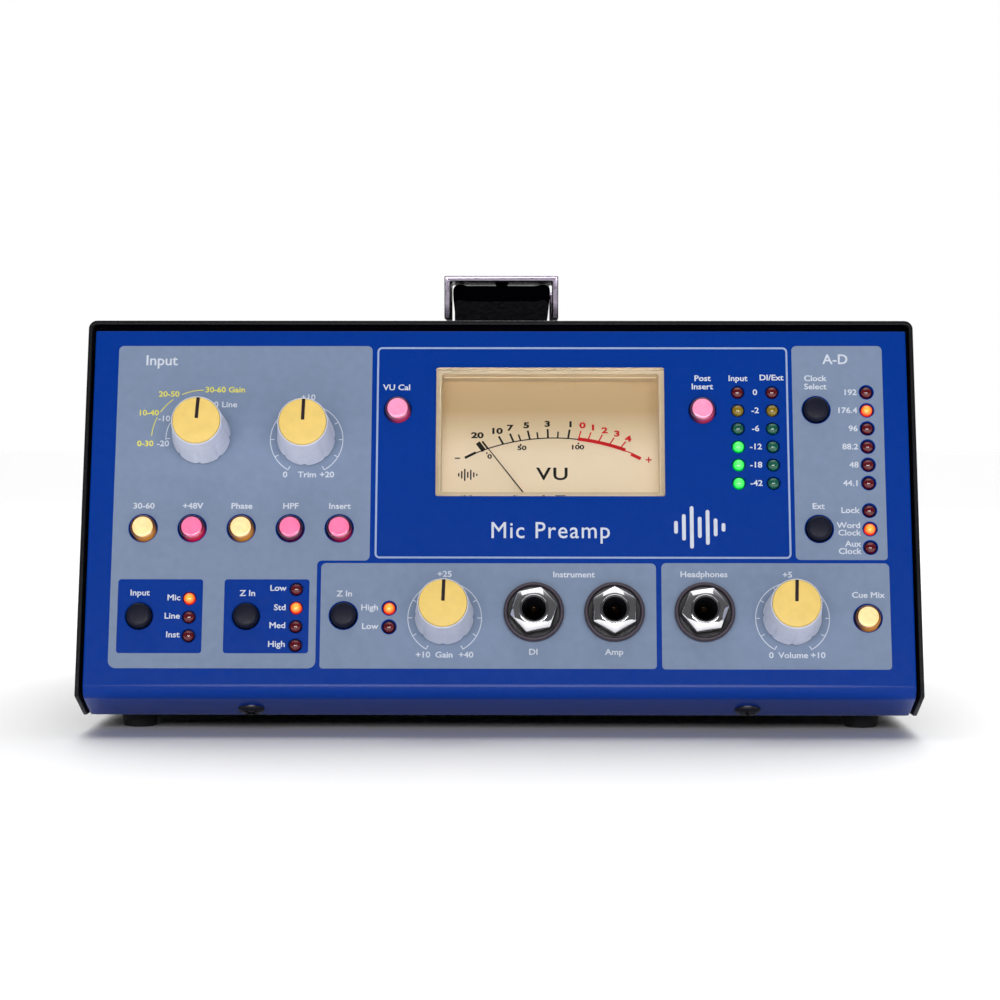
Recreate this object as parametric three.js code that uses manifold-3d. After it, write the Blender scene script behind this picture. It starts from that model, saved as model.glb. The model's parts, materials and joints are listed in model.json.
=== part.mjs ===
// A desktop microphone preamp: a sloping blue control panel in a black steel cover, with knobs, push buttons,
// a needle level meter, jack sockets, indicator lamps, a strap handle on top and its boards and transformers
// inside. Millimetres, +Z up, the front faces -Y, and the origin is under the middle of its feet.
import * as THREE from "three";
import { mergeVertices } from "three/addons/utils/BufferGeometryUtils.js";
import Module from "manifold-3d";

const wasm = await Module();
wasm.setup();

// ---- driving dimensions -------------------------------------------------------------------------------------
const WIDTH = 220; // across the cover
const CASE_HEIGHT = 104.4; // cover, without the feet
const OVERALL_DEPTH = 254; // lowest knobs to the clock sockets behind
const COVER_BACK = 240; // lip of the panel to the cover's rear edge
const FEET = 4.5; // the feet lift the case by this much
const TILT = THREE.MathUtils.degToRad(17); // the panel leans back from upright by this
const LIP_Z = 6.5; // the lip's height over the case's underside
const LIP_BACK = 17; // the lip's underside runs back this far before it is level
const GAP = 0.3; // between pieces that touch
const COVER_SHEET = 1.1;
const PANEL_SHEET = 2;
const TRAY_SHEET = 1.2;
const REAR_SHEET = 1.6;

// The panel's own frame: x across, y up the slope from the lip, z out of the panel.
const PANEL_TOP = 99.5;
const PANEL_HALF = 108;
const BOARD_TOP = -12.4; // face of the control board that carries the switches
const BOARD_SHEET = 1.6;

// Knobs: a fluted skirt with a disc set in its top.
const KNOB = { base: 7.7, rim: 6.75, rimTop: 14.9, cap: 6.2, capTop: 15.3, shaft: 3, shaftEnd: -11.5 };
const KNOBS = [
  ["input_gain", -78.9, 70],
  ["trim", -51.2, 69.6],
  ["instrument_gain", -14.3, 21.2],
  ["headphone_volume", 76.2, 21.2],
];

// Push buttons, each on its own switch.
const BUTTON = { radius: 3.3, face: 2.75, top: 2, stem: 1.6, stemEnd: -8.9, hole: 3.6 };
const ROW = { first: -93.6, pitch: 12.88, s: 44.9 };
const ROW_NAMES = ["gain_range", "phantom_power", "phase", "high_pass", "insert"];
const BUTTONS = [
  ...ROW_NAMES.map((name, i) => [name, ROW.first + i * ROW.pitch, ROW.s]),
  ["meter_calibration", -27.1, 77.5],
  ["post_insert", 53.6, 77.4],
  ["cue_mix", 95.9, 20.9],
  ["input_select", -93.9, 21.2],
  ["mic_impedance", -66, 21.2],
  ["instrument_impedance", -40.6, 21.4],
  ["clock_select", 83.7, 77.5],
  ["external_clock", 83.8, 44.9],
];

// Indicator lamps stand in rows on one pitch: [x, highest s, how many].
const LAMP = { radius: 1.5, hole: 1.75, pitch: 5, carrierTop: -2.6, carrierHalf: 2.6 };
const LAMP_GROUPS = {
  input_select_lamps: [[-80.9, 26, 3]],
  mic_impedance_lamps: [[-53, 28.5, 4]],
  instrument_impedance_lamps: [[-28.7, 23.4, 2]],
  level_lamps: [[63, 82.4, 6], [72.1, 82.4, 6]],
  converter_lamps: [[97.1, 82.4, 6], [97.1, 49.9, 3]],
};

// Jack sockets on the panel, and the same socket behind.
const JACK = { bore: 3.4, nose: 3.75, thread: 4.5, mouth: 5.25, step: 4, depth: 22, body: 8 };
const JACK_NUT = { across: 6.3, lip: 4.05, bore: 4.8, bottom: 2.6, top: 5 };
const JACK_WASHER = { outer: 7.9, inner: 4.8, top: 2.3 };
const JACKS = [["instrument", 9], ["amplifier", 30], ["headphone", 53.5]];
const JACK_S = 22.2;

// Needle meter.
const METER = { x: 13.3, s: 71.4, width: 60.4, height: 35.2, pivotX: 13.9, pivotS: 46.7 };
const METER_BOX = { left: -19, right: 46, low: 41, high: 91.5, back: -30, wall: 1.6 };
const DIAL = { back: -10, front: -9 };
const NEEDLE = { length: 30.2, width: 0.7, back: -7.6, front: -7, hub: 2.6, tail: 3.4, rest: 37.6 };

// Rear face, seen from behind: x to the right, y up from the case's underside, z outwards.
const REAR_FACE = 233.6; // y of the rear panel's outer face, from the lip
const XLR = { flangeX: 13, flangeY: 15.5, flange: 2.3, barrel: 11.8, hole: 12.2, depth: 20, y: 66 };
const XLR_IN_X = -85;
const XLR_OUT_X = -50;
const REAR_JACKS = [-58, -40, -22];
const CLOCK_SOCKETS = [0, 16];
const SOCKET_Y = 19.5; // axis of the rear jacks and clock sockets
const POWER = { x: 72, y: 40, halfX: 26, halfY: 15.5, flange: 2.5, back: -22 };
const INLET = { x: -8, halfX: 12.1, halfY: 8.3, floor: -15 };
const ROCKER = { x: 16.5, halfX: 6.5, halfY: 9.5, pocket: -8, rise: 1.4 };

// Boards and transformers inside.
const MAIN_BOARD = { z: 10, left: -20, right: 104, front: 52, back: 226 };
const TOROID = { x: -62, y: 150, outer: 37, inner: 10, height: 34 };

// Strap handle, front to back along the top.
const HANDLE = { front: 60, back: 210, width: 31.5, cap: 28, capTop: 13.3, legEnd: 1.4, sheet: 1.6 };
const STRAP = { half: 13.5, flexEnd: 22, low: 9.1, high: 14.6 };

const FRONT_MOST = (KNOBS[2][2] - KNOB.cap) * Math.sin(TILT) - KNOB.capTop * Math.cos(TILT);
const ORIGIN_Y = FRONT_MOST + OVERALL_DEPTH / 2;
const CLOCK_END = FRONT_MOST + OVERALL_DEPTH - REAR_FACE;

// ---- small helpers --------------------------------------------------------------------------------------------
const box2 = (x0, y0, x1, y1) => [[x0, y0], [x1, y0], [x1, y1], [x0, y1]].map(([x, y]) => new THREE.Vector2(x, y));

function round(x, y, r, sides = 24, turn = 0) {
  const at = (i) => turn + (2 * Math.PI * i) / sides;
  return Array.from({ length: sides }, (_, i) => new THREE.Vector2(x + r * Math.cos(at(i)), y + r * Math.sin(at(i))));
}

// A flat outline with holes, from z0 to z1.
function slab(outline, z0, z1, holes = []) {
  const shape = new THREE.Shape(outline);
  shape.holes = holes.map((hole) => new THREE.Path(hole));
  return new THREE.ExtrudeGeometry(shape, { depth: z1 - z0, bevelEnabled: false }).translate(0, 0, z0);
}

const block = (x0, y0, z0, x1, y1, z1) => slab(box2(x0, y0, x1, y1), z0, z1);
const rod = (x, y, r, z0, z1, sides = 24) => slab(round(x, y, r, sides), z0, z1);

// A profile of [radius, z] pairs turned about the z axis.
function turned(profile, x = 0, y = 0, sides = 24) {
  const points = profile.map(([r, z]) => new THREE.Vector2(r, z));
  return new THREE.LatheGeometry(points, sides).rotateX(Math.PI / 2).translate(x, y, 0);
}

// An outline in the (y, z) plane, drawn along x from x0 to x1.
function alongX(outline, x0, x1) {
  const points = outline.map(([y, z]) => new THREE.Vector2(y, z));
  const matrix = new THREE.Matrix4().makeBasis(
    new THREE.Vector3(0, 1, 0), new THREE.Vector3(0, 0, 1), new THREE.Vector3(1, 0, 0));
  return slab(points, x0, x1).applyMatrix4(matrix);
}

function solid(geometry) {
  const plain = geometry.clone();
  plain.deleteAttribute("normal");
  plain.deleteAttribute("uv");
  const merged = mergeVertices(plain);
  const triangles = [];
  for (let i = 0; i < merged.index.count; i += 3) {
    const [a, b, c] = merged.index.array.slice(i, i + 3);
    if (a !== b && b !== c && c !== a) triangles.push(a, b, c);
  }
  const vertProperties = Float32Array.from(merged.attributes.position.array);
  return new wasm.Manifold(new wasm.Mesh({ numProp: 3, vertProperties, triVerts: Uint32Array.from(triangles) }));
}

function geometryOf(body) {
  const mesh = body.getMesh();
  const geometry = new THREE.BufferGeometry();
  geometry.setAttribute("position", new THREE.BufferAttribute(mesh.vertProperties, 3));
  geometry.setIndex(new THREE.BufferAttribute(mesh.triVerts, 1));
  geometry.computeVertexNormals();
  return geometry;
}

const join = (...parts) => geometryOf(parts.map(solid).reduce((all, next) => all.add(next)));
const cut = (whole, ...tools) => geometryOf(tools.map(solid).reduce((left, tool) => left.subtract(tool), solid(whole)));
const common = (a, b) => geometryOf(solid(a).intersect(solid(b)));

// Outline of a bent sheet: a path of outer corners, all bending towards the sheet's inner side.
function bentSheet(path, sheet, radius, steps = 3) {
  const corner = path.map(([y, z]) => new THREE.Vector2(y, z));
  const outer = [corner[0]];
  const inner = [];
  const inward = (d) => new THREE.Vector2(-d.y, d.x);
  const way = (i) => corner[i + 1].clone().sub(corner[i]).normalize();
  inner.push(corner[0].clone().addScaledVector(inward(way(0)), sheet));
  for (let i = 1; i < corner.length - 1; i++) {
    const [before, after] = [way(i - 1), way(i)];
    const turn = before.angleTo(after);
    const start = corner[i].clone().addScaledVector(before, -radius * Math.tan(turn / 2));
    const centre = start.clone().addScaledVector(inward(before), radius);
    for (let k = 0; k <= steps; k++) {
      const arm = start.clone().sub(centre).rotateAround(new THREE.Vector2(), (turn * k) / steps);
      outer.push(centre.clone().add(arm));
      inner.push(centre.clone().addScaledVector(arm, (radius - sheet) / radius));
    }
  }
  const last = corner.length - 1;
  outer.push(corner[last]);
  inner.push(corner[last].clone().addScaledVector(inward(way(last - 1)), sheet));
  return [...outer, ...inner.reverse()].map((p) => [p.x, p.y]);
}

const finish = (color, roughness, metalness) => new THREE.MeshStandardMaterial({ color, roughness, metalness });
const LOOK = {
  bluePaint: finish(0x00349b, 0.5, 0.2),
  blackPaint: finish(0x101113, 0.55, 0.3),
  steel: finish(0xb9bcc0, 0.35, 1),
  nickel: finish(0x8d8794, 0.25, 1),
  chrome: finish(0xe4e4e6, 0.12, 1),
  rubber: finish(0x0c0c0d, 0.85, 0),
  strap: finish(0x111218, 0.6, 0),
  skirt: finish(0xcdd0e1, 0.45, 0),
  yellow: finish(0xffd770, 0.5, 0),
  pinkLit: finish(0xf08aa0, 0.35, 0),
  amberLit: finish(0xffc84a, 0.35, 0),
  blackPlastic: finish(0x17181c, 0.4, 0),
  clear: finish(0xf2f2ee, 0.05, 0),
  dial: finish(0xe8d5af, 0.7, 0),
  board: finish(0x1d5a34, 0.55, 0),
  coil: finish(0x9a6a2c, 0.5, 0.2),
};

// ---- groups ---------------------------------------------------------------------------------------------------
const preamp = new THREE.Group(); // lip at y = 0, case underside at z = 0
preamp.position.set(0, -ORIGIN_Y, FEET);
const panel = new THREE.Group(); // the panel's own frame
panel.position.set(0, 0, LIP_Z);
panel.rotation.x = Math.PI / 2 - TILT;
const rear = new THREE.Group(); // the rear face's own frame
rear.position.set(0, REAR_FACE, 0);
rear.rotation.set(Math.PI / 2, Math.PI, 0);
preamp.add(panel, rear);

function place(group, name, geometry, material) {
  const mesh = new THREE.Mesh(geometry, material);
  mesh.name = name;
  group.add(mesh);
}

// ---- case -----------------------------------------------------------------------------------------------------
const slopeAt = (z) => (z - LIP_Z) * Math.tan(TILT); // y of the panel's face at a height
const SIDE = [[0, LIP_Z], [LIP_BACK, 0], [COVER_BACK, 0], [COVER_BACK, CASE_HEIGHT], [slopeAt(CASE_HEIGHT), CASE_HEIGHT]];

function coverBody() {
  const half = WIDTH / 2;
  const corner = 2; // outside radius along the top edges
  const arch = (edge, top, r, low) => {
    const bend = (side, i) => {
      const angle = (Math.PI / 6) * i;
      return [side * (edge - r + r * Math.cos(angle)), top - r + r * Math.sin(angle)];
    };
    const up = [0, 1, 2, 3];
    const right = up.map((i) => bend(1, i));
    const left = up.map((i) => bend(-1, 3 - i));
    return [[-edge, low], [edge, low], ...right, ...left].map(([x, z]) => new THREE.Vector2(x, z));
  };
  const inside = arch(half - COVER_SHEET, CASE_HEIGHT - COVER_SHEET, corner - COVER_SHEET, -5);
  const length = COVER_BACK + 20;
  const upright = (outline, y0, y1) => slab(outline, -y1, -y0).rotateX(Math.PI / 2);
  const shell = cut(upright(arch(half, CASE_HEIGHT, corner, -1), -10, length), upright(inside, -15, length + 5));
  const shaped = common(shell, alongX(SIDE, -half - 5, half + 5));
  const slot = { count: 8, first: 150, pitch: 9, half: 1.5, low: 40, high: 78 };
  const vents = Array.from({ length: slot.count }, (_, i) => {
    const y = slot.first + i * slot.pitch;
    return block(-half - 5, y - slot.half, slot.low, half + 5, y + slot.half, slot.high);
  });
  return cut(shaped, ...vents);
}

function frontPanelBody() {
  const bend = 2.6;
  const up = (s) => [s * Math.sin(TILT), LIP_Z + s * Math.cos(TILT)];
  const lip = bentSheet([up(bend + 4), [0, LIP_Z], [LIP_BACK, 0], [LIP_BACK + 9, 0]], PANEL_SHEET, bend);
  const toPanel = new THREE.Matrix4().makeRotationX(TILT - Math.PI / 2)
    .multiply(new THREE.Matrix4().makeTranslation(0, 0, -LIP_Z));
  const fold = alongX(lip, -PANEL_HALF, PANEL_HALF).applyMatrix4(toPanel);
  const lamps = Object.values(LAMP_GROUPS).flat().flatMap(([x, high, count]) =>
    Array.from({ length: count }, (_, i) => round(x, high - i * LAMP.pitch, LAMP.hole, 10)));
  const holes = [
    ...KNOBS.map(([, x, s]) => round(x, s, 3.6, 16)),
    ...BUTTONS.map(([, x, s]) => round(x, s, BUTTON.hole, 16)),
    ...JACKS.map(([, x]) => round(x, JACK_S, JACK.thread + GAP, 20)),
    ...lamps,
    box2(METER.x - METER.width / 2 - GAP, METER.s - METER.height / 2 - GAP,
      METER.x + METER.width / 2 + GAP, METER.s + METER.height / 2 + GAP),
  ];
  const chamfer = 1;
  const outline = [
    [-PANEL_HALF, bend + 2], [PANEL_HALF, bend + 2], [PANEL_HALF, PANEL_TOP - chamfer],
    [PANEL_HALF - chamfer, PANEL_TOP], [chamfer - PANEL_HALF, PANEL_TOP], [-PANEL_HALF, PANEL_TOP - chamfer],
  ].map(([x, s]) => new THREE.Vector2(x, s));
  return join(slab(outline, -PANEL_SHEET, 0, holes), fold);
}

function trayBody() {
  const half = WIDTH / 2 - COVER_SHEET - 0.5;
  const floor = PANEL_SHEET + GAP;
  const [front, back] = [LIP_BACK + 2, REAR_FACE + 2];
  const plate = block(-half, front, floor, half, back, floor + TRAY_SHEET);
  const flange = 16;
  const sides = [-half, half - TRAY_SHEET].map((x) => block(x, front, floor, x + TRAY_SHEET, back, flange));
  return join(plate, ...sides);
}

function rearPanelBody() {
  const [half, low, high] = [WIDTH / 2 - COVER_SHEET - 2.4, 16.5, CASE_HEIGHT - COVER_SHEET - 1];
  const foot = PANEL_SHEET + GAP + TRAY_SHEET + GAP;
  const outline = box2(-half, foot, half, high);
  const holes = [
    round(XLR_IN_X, XLR.y, XLR.hole), round(XLR_OUT_X, XLR.y, XLR.hole),
    ...REAR_JACKS.map((x) => round(x, SOCKET_Y, JACK.thread + GAP, 20)),
    ...CLOCK_SOCKETS.map((x) => round(x, SOCKET_Y, 5, 20)),
    box2(POWER.x - POWER.halfX + 3, POWER.y - POWER.halfY + 2, POWER.x + POWER.halfX - 3, POWER.y + POWER.halfY - 2),
  ];
  const ear = 1.6; // the panel is wider above the tray's sides
  const wings = [-1, 1].map((side) => {
    const edge = side * half;
    return block(Math.min(edge, edge + side * ear), low, -REAR_SHEET, Math.max(edge, edge + side * ear), high, 0);
  });
  return join(slab(outline, -REAR_SHEET, 0, holes), ...wings);
}

place(preamp, "case_cover", coverBody(), LOOK.blackPaint);
place(panel, "front_panel", frontPanelBody(), LOOK.bluePaint);
place(preamp, "chassis_tray", trayBody(), LOOK.blackPaint);
place(rear, "rear_panel", rearPanelBody(), LOOK.blackPaint);

const FOOT = { x: 97, front: 34, back: 222, wide: 5, narrow: 4.4 };
for (const [side, x] of [["left", -FOOT.x], ["right", FOOT.x]]) {
  for (const [end, y] of [["front", FOOT.front], ["rear", FOOT.back]]) {
    const profile = [[0, -FEET], [FOOT.narrow, -FEET], [FOOT.wide, -0.5], [FOOT.wide, PANEL_SHEET], [0, PANEL_SHEET]];
    place(preamp, `foot_${end}_${side}`, turned(profile, x, y, 20), LOOK.rubber);
  }
}

// ---- strap handle -----------------------------------------------------------------------------------------------
function handleCap() {
  const [half, sheet] = [HANDLE.width / 2, HANDLE.sheet];
  const whole = block(-half, 0, HANDLE.legEnd, half, HANDLE.cap, HANDLE.capTop);
  const channel = block(sheet - half, -1, 0, half - sheet, HANDLE.cap + 1, HANDLE.capTop - sheet);
  return cut(whole, channel).translate(0, 0, CASE_HEIGHT);
}

// One end of the strap: a thick foot under its cap, then a thin length that bends.
function strapEnd() {
  const front = 2;
  const under = HANDLE.capTop - HANDLE.sheet - GAP;
  const side = [
    [front, GAP], [front + 15, GAP], [front + 20, 5.5], [HANDLE.cap + STRAP.flexEnd, STRAP.low],
    [HANDLE.cap + STRAP.flexEnd, STRAP.high], [HANDLE.cap + 1, under], [front + 7, under], [front + 1.4, 7.4], [front, 6.4],
  ];
  return alongX(side, -STRAP.half, STRAP.half).translate(0, 0, CASE_HEIGHT);
}

function strapGrip() {
  const [start, end] = [HANDLE.front + HANDLE.cap + STRAP.flexEnd + GAP, HANDLE.back - HANDLE.cap - STRAP.flexEnd - GAP];
  const side = [[start, STRAP.low], [end, STRAP.low], [end, STRAP.high], [start, STRAP.high]];
  return alongX(side, -STRAP.half, STRAP.half).translate(0, 0, CASE_HEIGHT);
}

const facingBack = (geometry) => geometry.rotateZ(Math.PI).translate(0, HANDLE.back, 0);
place(preamp, "handle_cap_front", handleCap().translate(0, HANDLE.front, 0), LOOK.nickel);
place(preamp, "handle_cap_rear", facingBack(handleCap()), LOOK.nickel);
place(preamp, "strap_end_front", strapEnd().translate(0, HANDLE.front, 0), LOOK.strap);
place(preamp, "strap_end_rear", facingBack(strapEnd()), LOOK.strap);
place(preamp, "strap_grip", strapGrip(), LOOK.strap);

// ---- knobs and buttons --------------------------------------------------------------------------------------------
for (const [name, x, s] of KNOBS) {
  const recess = KNOB.capTop - 2;
  const skirt = [
    [0, KNOB.shaftEnd], [KNOB.shaft, KNOB.shaftEnd], [KNOB.shaft, 0.8], [KNOB.base, 0.8], [KNOB.rim, KNOB.rimTop],
    [KNOB.cap + GAP, KNOB.rimTop], [KNOB.cap + GAP, recess], [0, recess],
  ];
  const disc = [[0, recess + GAP], [KNOB.cap, recess + GAP], [KNOB.cap, KNOB.capTop - 0.3],
    [KNOB.cap - 0.3, KNOB.capTop], [0, KNOB.capTop]];
  place(panel, `${name}_knob`, turned(skirt, x, s), LOOK.skirt);
  place(panel, `${name}_knob_cap`, turned(disc, x, s), LOOK.yellow);
}

const LIT = { gain_range: "amberLit", phase: "amberLit", cue_mix: "amberLit" };
const DARK = ["input_select", "mic_impedance", "instrument_impedance", "clock_select", "external_clock"];
for (const [name, x, s] of BUTTONS) {
  const profile = [
    [0, BUTTON.stemEnd], [BUTTON.stem, BUTTON.stemEnd], [BUTTON.stem, -4], [BUTTON.radius, -4],
    [BUTTON.radius, BUTTON.top - 0.8], [BUTTON.face, BUTTON.top], [0, BUTTON.top],
  ];
  const look = DARK.includes(name) ? LOOK.blackPlastic : LOOK[LIT[name] ?? "pinkLit"];
  place(panel, `${name}_button`, turned(profile, x, s, 16), look);
}

// ---- control board behind the panel -------------------------------------------------------------------------------
function controlBoard() {
  const edge = { left: -101, right: 103.5, low: 6, high: 96 };
  const [low, high] = [BOARD_TOP - BOARD_SHEET, BOARD_TOP];
  const meter = block(METER_BOX.left - 1, METER_BOX.low - 1, low - 1, METER_BOX.right + 1, METER_BOX.high + 1, high + 1);
  const jacks = JACKS.map(([, x]) =>
    block(x - JACK.body - 1, JACK_S - 9, low - 1, x + JACK.body + 1, JACK_S + 12, high + 1));
  const sheet = cut(block(edge.left, edge.low, low, edge.right, edge.high, high), meter, ...jacks);
  const sunk = BOARD_TOP - 0.5; // the bodies are soldered into the board
  const controls = KNOBS.map(([, x, s]) => block(x - 8, s - 8, sunk, x + 8, s + 8, -PANEL_SHEET - 0.4));
  const switches = BUTTONS.map(([, x, s]) => block(x - 3, s - 3, sunk, x + 3, s + 3, -10.5));
  const bores = KNOBS.map(([, x, s]) => rod(x, s, KNOB.shaft + GAP, KNOB.shaftEnd - 0.4, 1, 16));
  return cut(join(sheet, ...controls, ...switches), ...bores);
}
place(panel, "control_board", controlBoard(), LOOK.board);

for (const [name, rows] of Object.entries(LAMP_GROUPS)) {
  const bodies = rows.flatMap(([x, high, count]) => {
    const low = high - (count - 1) * LAMP.pitch;
    const half = LAMP.carrierHalf;
    const carrier = block(x - half, low - half, BOARD_TOP + GAP, x + half, high + half, LAMP.carrierTop);
    const lamps = Array.from({ length: count }, (_, i) =>
      rod(x, high - i * LAMP.pitch, LAMP.radius, LAMP.carrierTop - 1, -GAP, 8));
    return [carrier, ...lamps];
  });
  const [first, last] = [rows[0], rows[rows.length - 1]];
  if (rows.length > 1) { // a thin foot joins the two rows
    const low = last[1] - (last[2] - 1) * LAMP.pitch;
    bodies.push(block(first[0] - 1, low, BOARD_TOP + GAP, last[0] + 1, first[1], BOARD_TOP + 2));
  }
  place(panel, name, join(...bodies), LOOK.blackPlastic);
}

// ---- jack sockets -------------------------------------------------------------------------------------------------
function jackBody(x, y, mouth, panelBack) {
  const bush = turned([[0, panelBack - 2], [JACK.thread, panelBack - 2], [JACK.thread, JACK.step],
    [JACK.nose, JACK.step], [JACK.nose, mouth], [0, mouth]], x, y, 20);
  const frame = block(x - JACK.body, y - 8, panelBack - JACK.depth, x + JACK.body, y + 10, panelBack);
  return cut(join(bush, frame), rod(x, y, JACK.bore, panelBack - JACK.depth + 2, mouth + 1));
}

function jackNut() {
  const hexagon = round(0, 0, JACK_NUT.across, 6, THREE.MathUtils.degToRad(12));
  const whole = slab(hexagon, JACK_NUT.bottom, JACK_NUT.top);
  return cut(whole, rod(0, 0, JACK_NUT.bore, 0, JACK.step + GAP), rod(0, 0, JACK_NUT.lip, 0, 9));
}

for (const [name, x] of JACKS) {
  place(panel, `${name}_jack`, jackBody(x, JACK_S, JACK.mouth, -PANEL_SHEET - 0.4), LOOK.blackPlastic);
  place(panel, `${name}_jack_washer`, slab(round(x, JACK_S, JACK_WASHER.outer), GAP, JACK_WASHER.top,
    [round(x, JACK_S, JACK_WASHER.inner, 20)]), LOOK.blackPlastic);
  place(panel, `${name}_jack_nut`, jackNut().translate(x, JACK_S, 0), LOOK.chrome);
}

// ---- needle meter -------------------------------------------------------------------------------------------------
function meterHousing() {
  const { left, right, low, high, back, wall } = METER_BOX;
  const front = -PANEL_SHEET - GAP;
  const hollow = block(left + wall, low + wall, back + 12, right - wall, high - wall, 0);
  return cut(block(left, low, back, right, high, front), hollow);
}

function meterDial() {
  const edge = METER_BOX.wall + 0.4;
  const outline = box2(METER_BOX.left + edge, METER_BOX.low + edge, METER_BOX.right - edge, METER_BOX.high - edge);
  return slab(outline, DIAL.back, DIAL.front, [round(METER.pivotX, METER.pivotS, 1.6, 12)]);
}

function meterNeedle() {
  const rest = THREE.MathUtils.degToRad(NEEDLE.rest);
  const pointer = block(-NEEDLE.width / 2, -NEEDLE.tail, NEEDLE.back, NEEDLE.width / 2, NEEDLE.length, NEEDLE.front);
  const hub = rod(0, 0, NEEDLE.hub, NEEDLE.back - 0.6, NEEDLE.front + 1, 16);
  const shaft = rod(0, 0, 1, METER_BOX.back + 13, NEEDLE.back, 10);
  return join(pointer, hub, shaft).rotateZ(rest).translate(METER.pivotX, METER.pivotS, 0);
}

place(panel, "meter_housing", meterHousing(), LOOK.blackPlastic);
place(panel, "meter_dial", meterDial(), LOOK.dial);
place(panel, "meter_needle", meterNeedle(), LOOK.blackPlastic);
const [windowX, windowS] = [METER.width / 2, METER.height / 2];
place(panel, "meter_window", block(METER.x - windowX, METER.s - windowS, -PANEL_SHEET, METER.x + windowX,
  METER.s + windowS, 0.9), LOOK.clear);

// ---- boards and transformers inside ---------------------------------------------------------------------------------
function mainBoard() {
  const { z, left, right, front, back } = MAIN_BOARD;
  const sheet = block(left, front, z, right, back, z + BOARD_SHEET);
  const foot = PANEL_SHEET + TRAY_SHEET + 2 * GAP;
  const posts = [[left + 5, front + 5], [right - 5, front + 5], [left + 5, back - 20], [right - 5, back - 20]]
    .map(([x, y]) => rod(x, y, 3, foot, z + 1, 10));
  const cans = [[0, 90], [0, 108], [18, 90], [18, 108], [40, 150]].map(([x, y]) => rod(x, y, 6.5, z + 1, z + 26, 12));
  const sink = block(60, 150, z + 1, 96, 158, z + 32);
  const behind = new THREE.Matrix4().makeTranslation(0, REAR_FACE, 0)
    .multiply(new THREE.Matrix4().makeRotationFromEuler(new THREE.Euler(Math.PI / 2, Math.PI, 0)));
  const inside = -REAR_SHEET - 0.4;
  const jacks = REAR_JACKS.map((x) => jackBody(x, SOCKET_Y, JACK.mouth, inside).applyMatrix4(behind));
  const clocks = CLOCK_SOCKETS.map((x) => join(
    rod(x, SOCKET_Y, 4.7, inside - 4, CLOCK_END, 20),
    block(x - 7, SOCKET_Y - 8, inside - 16, x + 7, SOCKET_Y + 7, inside)).applyMatrix4(behind));
  return join(sheet, ...posts, ...cans, sink, ...jacks, ...clocks);
}

function toroid() {
  const { outer, inner, height } = TOROID;
  const low = PANEL_SHEET + TRAY_SHEET + 3;
  const high = low + height;
  const profile = [[inner, low + 4], [inner + 4, low], [outer - 6, low], [outer, low + 6], [outer, high - 6],
    [outer - 6, high], [inner + 4, high], [inner, high - 4], [inner, low + 4]];
  return turned(profile, TOROID.x, TOROID.y, 28);
}

place(preamp, "main_board", mainBoard(), LOOK.board);
place(preamp, "mains_transformer", toroid(), LOOK.coil);
const CAN = { x: 76, y: 88, radius: 15, low: MAIN_BOARD.z + BOARD_SHEET + GAP, height: 34 };
place(preamp, "input_transformer", rod(CAN.x, CAN.y, CAN.radius, CAN.low, CAN.low + CAN.height, 20), LOOK.steel);

// ---- rear connectors --------------------------------------------------------------------------------------------------
function xlrBody(x) {
  const flange = block(x - XLR.flangeX, XLR.y - XLR.flangeY, GAP, x + XLR.flangeX, XLR.y + XLR.flangeY, XLR.flange);
  return join(flange, rod(x, XLR.y, XLR.barrel, -XLR.depth, GAP + 1));
}

function xlrFemale(x) {
  const groove = slab(round(x, XLR.y, 9.7), -10, 5, [round(x, XLR.y, 7.9)]);
  const contacts = [-1, 0, 1].map((k) => {
    const angle = -Math.PI / 2 + (k * Math.PI) / 2.2;
    return rod(x + 4.6 * Math.cos(angle), XLR.y + 4.6 * Math.sin(angle), 1.4, -12, 5, 10);
  });
  return cut(xlrBody(x), groove, ...contacts);
}

const xlrMale = (x) => cut(xlrBody(x), rod(x, XLR.y, 8.9, -14, 5));

function powerEntry() {
  const { x, y, halfX, halfY, flange, back } = POWER;
  const plate = block(x - halfX, y - halfY, GAP, x + halfX, y + halfY, flange);
  const body = block(x - halfX + 3.4, y - halfY + 2.4, back, x + halfX - 3.4, y + halfY - 2.4, GAP + 1);
  const inletX = x + INLET.x;
  const chamfer = 4.5;
  const outline = [[-INLET.halfX, -INLET.halfY], [INLET.halfX, -INLET.halfY], [INLET.halfX, INLET.halfY - chamfer],
    [INLET.halfX - chamfer, INLET.halfY], [chamfer - INLET.halfX, INLET.halfY], [-INLET.halfX, INLET.halfY - chamfer]]
    .map(([dx, dy]) => new THREE.Vector2(inletX + dx, y + dy));
  const room = 0.5;
  const [rockerX, halfRx, halfRy] = [x + ROCKER.x, ROCKER.halfX + room, ROCKER.halfY + room];
  const pocket = block(rockerX - halfRx, y - halfRy, ROCKER.pocket, rockerX + halfRx, y + halfRy, 5);
  return cut(join(plate, body), slab(outline, INLET.floor, 5), pocket);
}

// The rocker's face is a shallow V: the "off" half stands out at rest.
function rockerBody() {
  const lean = THREE.MathUtils.degToRad(7);
  const h = ROCKER.halfY - 0.4;
  const top = POWER.flange + ROCKER.rise;
  const side = [[-h, top - 3], [-h, top], [0, top - h * Math.tan(lean)], [h, top], [h, top - 3], [3, -4], [-3, -4]];
  const matrix = new THREE.Matrix4().makeRotationX(-lean);
  const [x, y] = [POWER.x + ROCKER.x, POWER.y];
  return alongX(side, -ROCKER.halfX, ROCKER.halfX).applyMatrix4(matrix).translate(x, y, 0);
}

place(rear, "mic_input_socket", xlrFemale(XLR_IN_X), LOOK.blackPlastic);
place(rear, "line_output_socket", xlrMale(XLR_OUT_X), LOOK.blackPlastic);
place(rear, "mains_inlet", powerEntry(), LOOK.blackPlastic);
place(rear, "power_rocker", rockerBody(), LOOK.blackPlastic);

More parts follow.
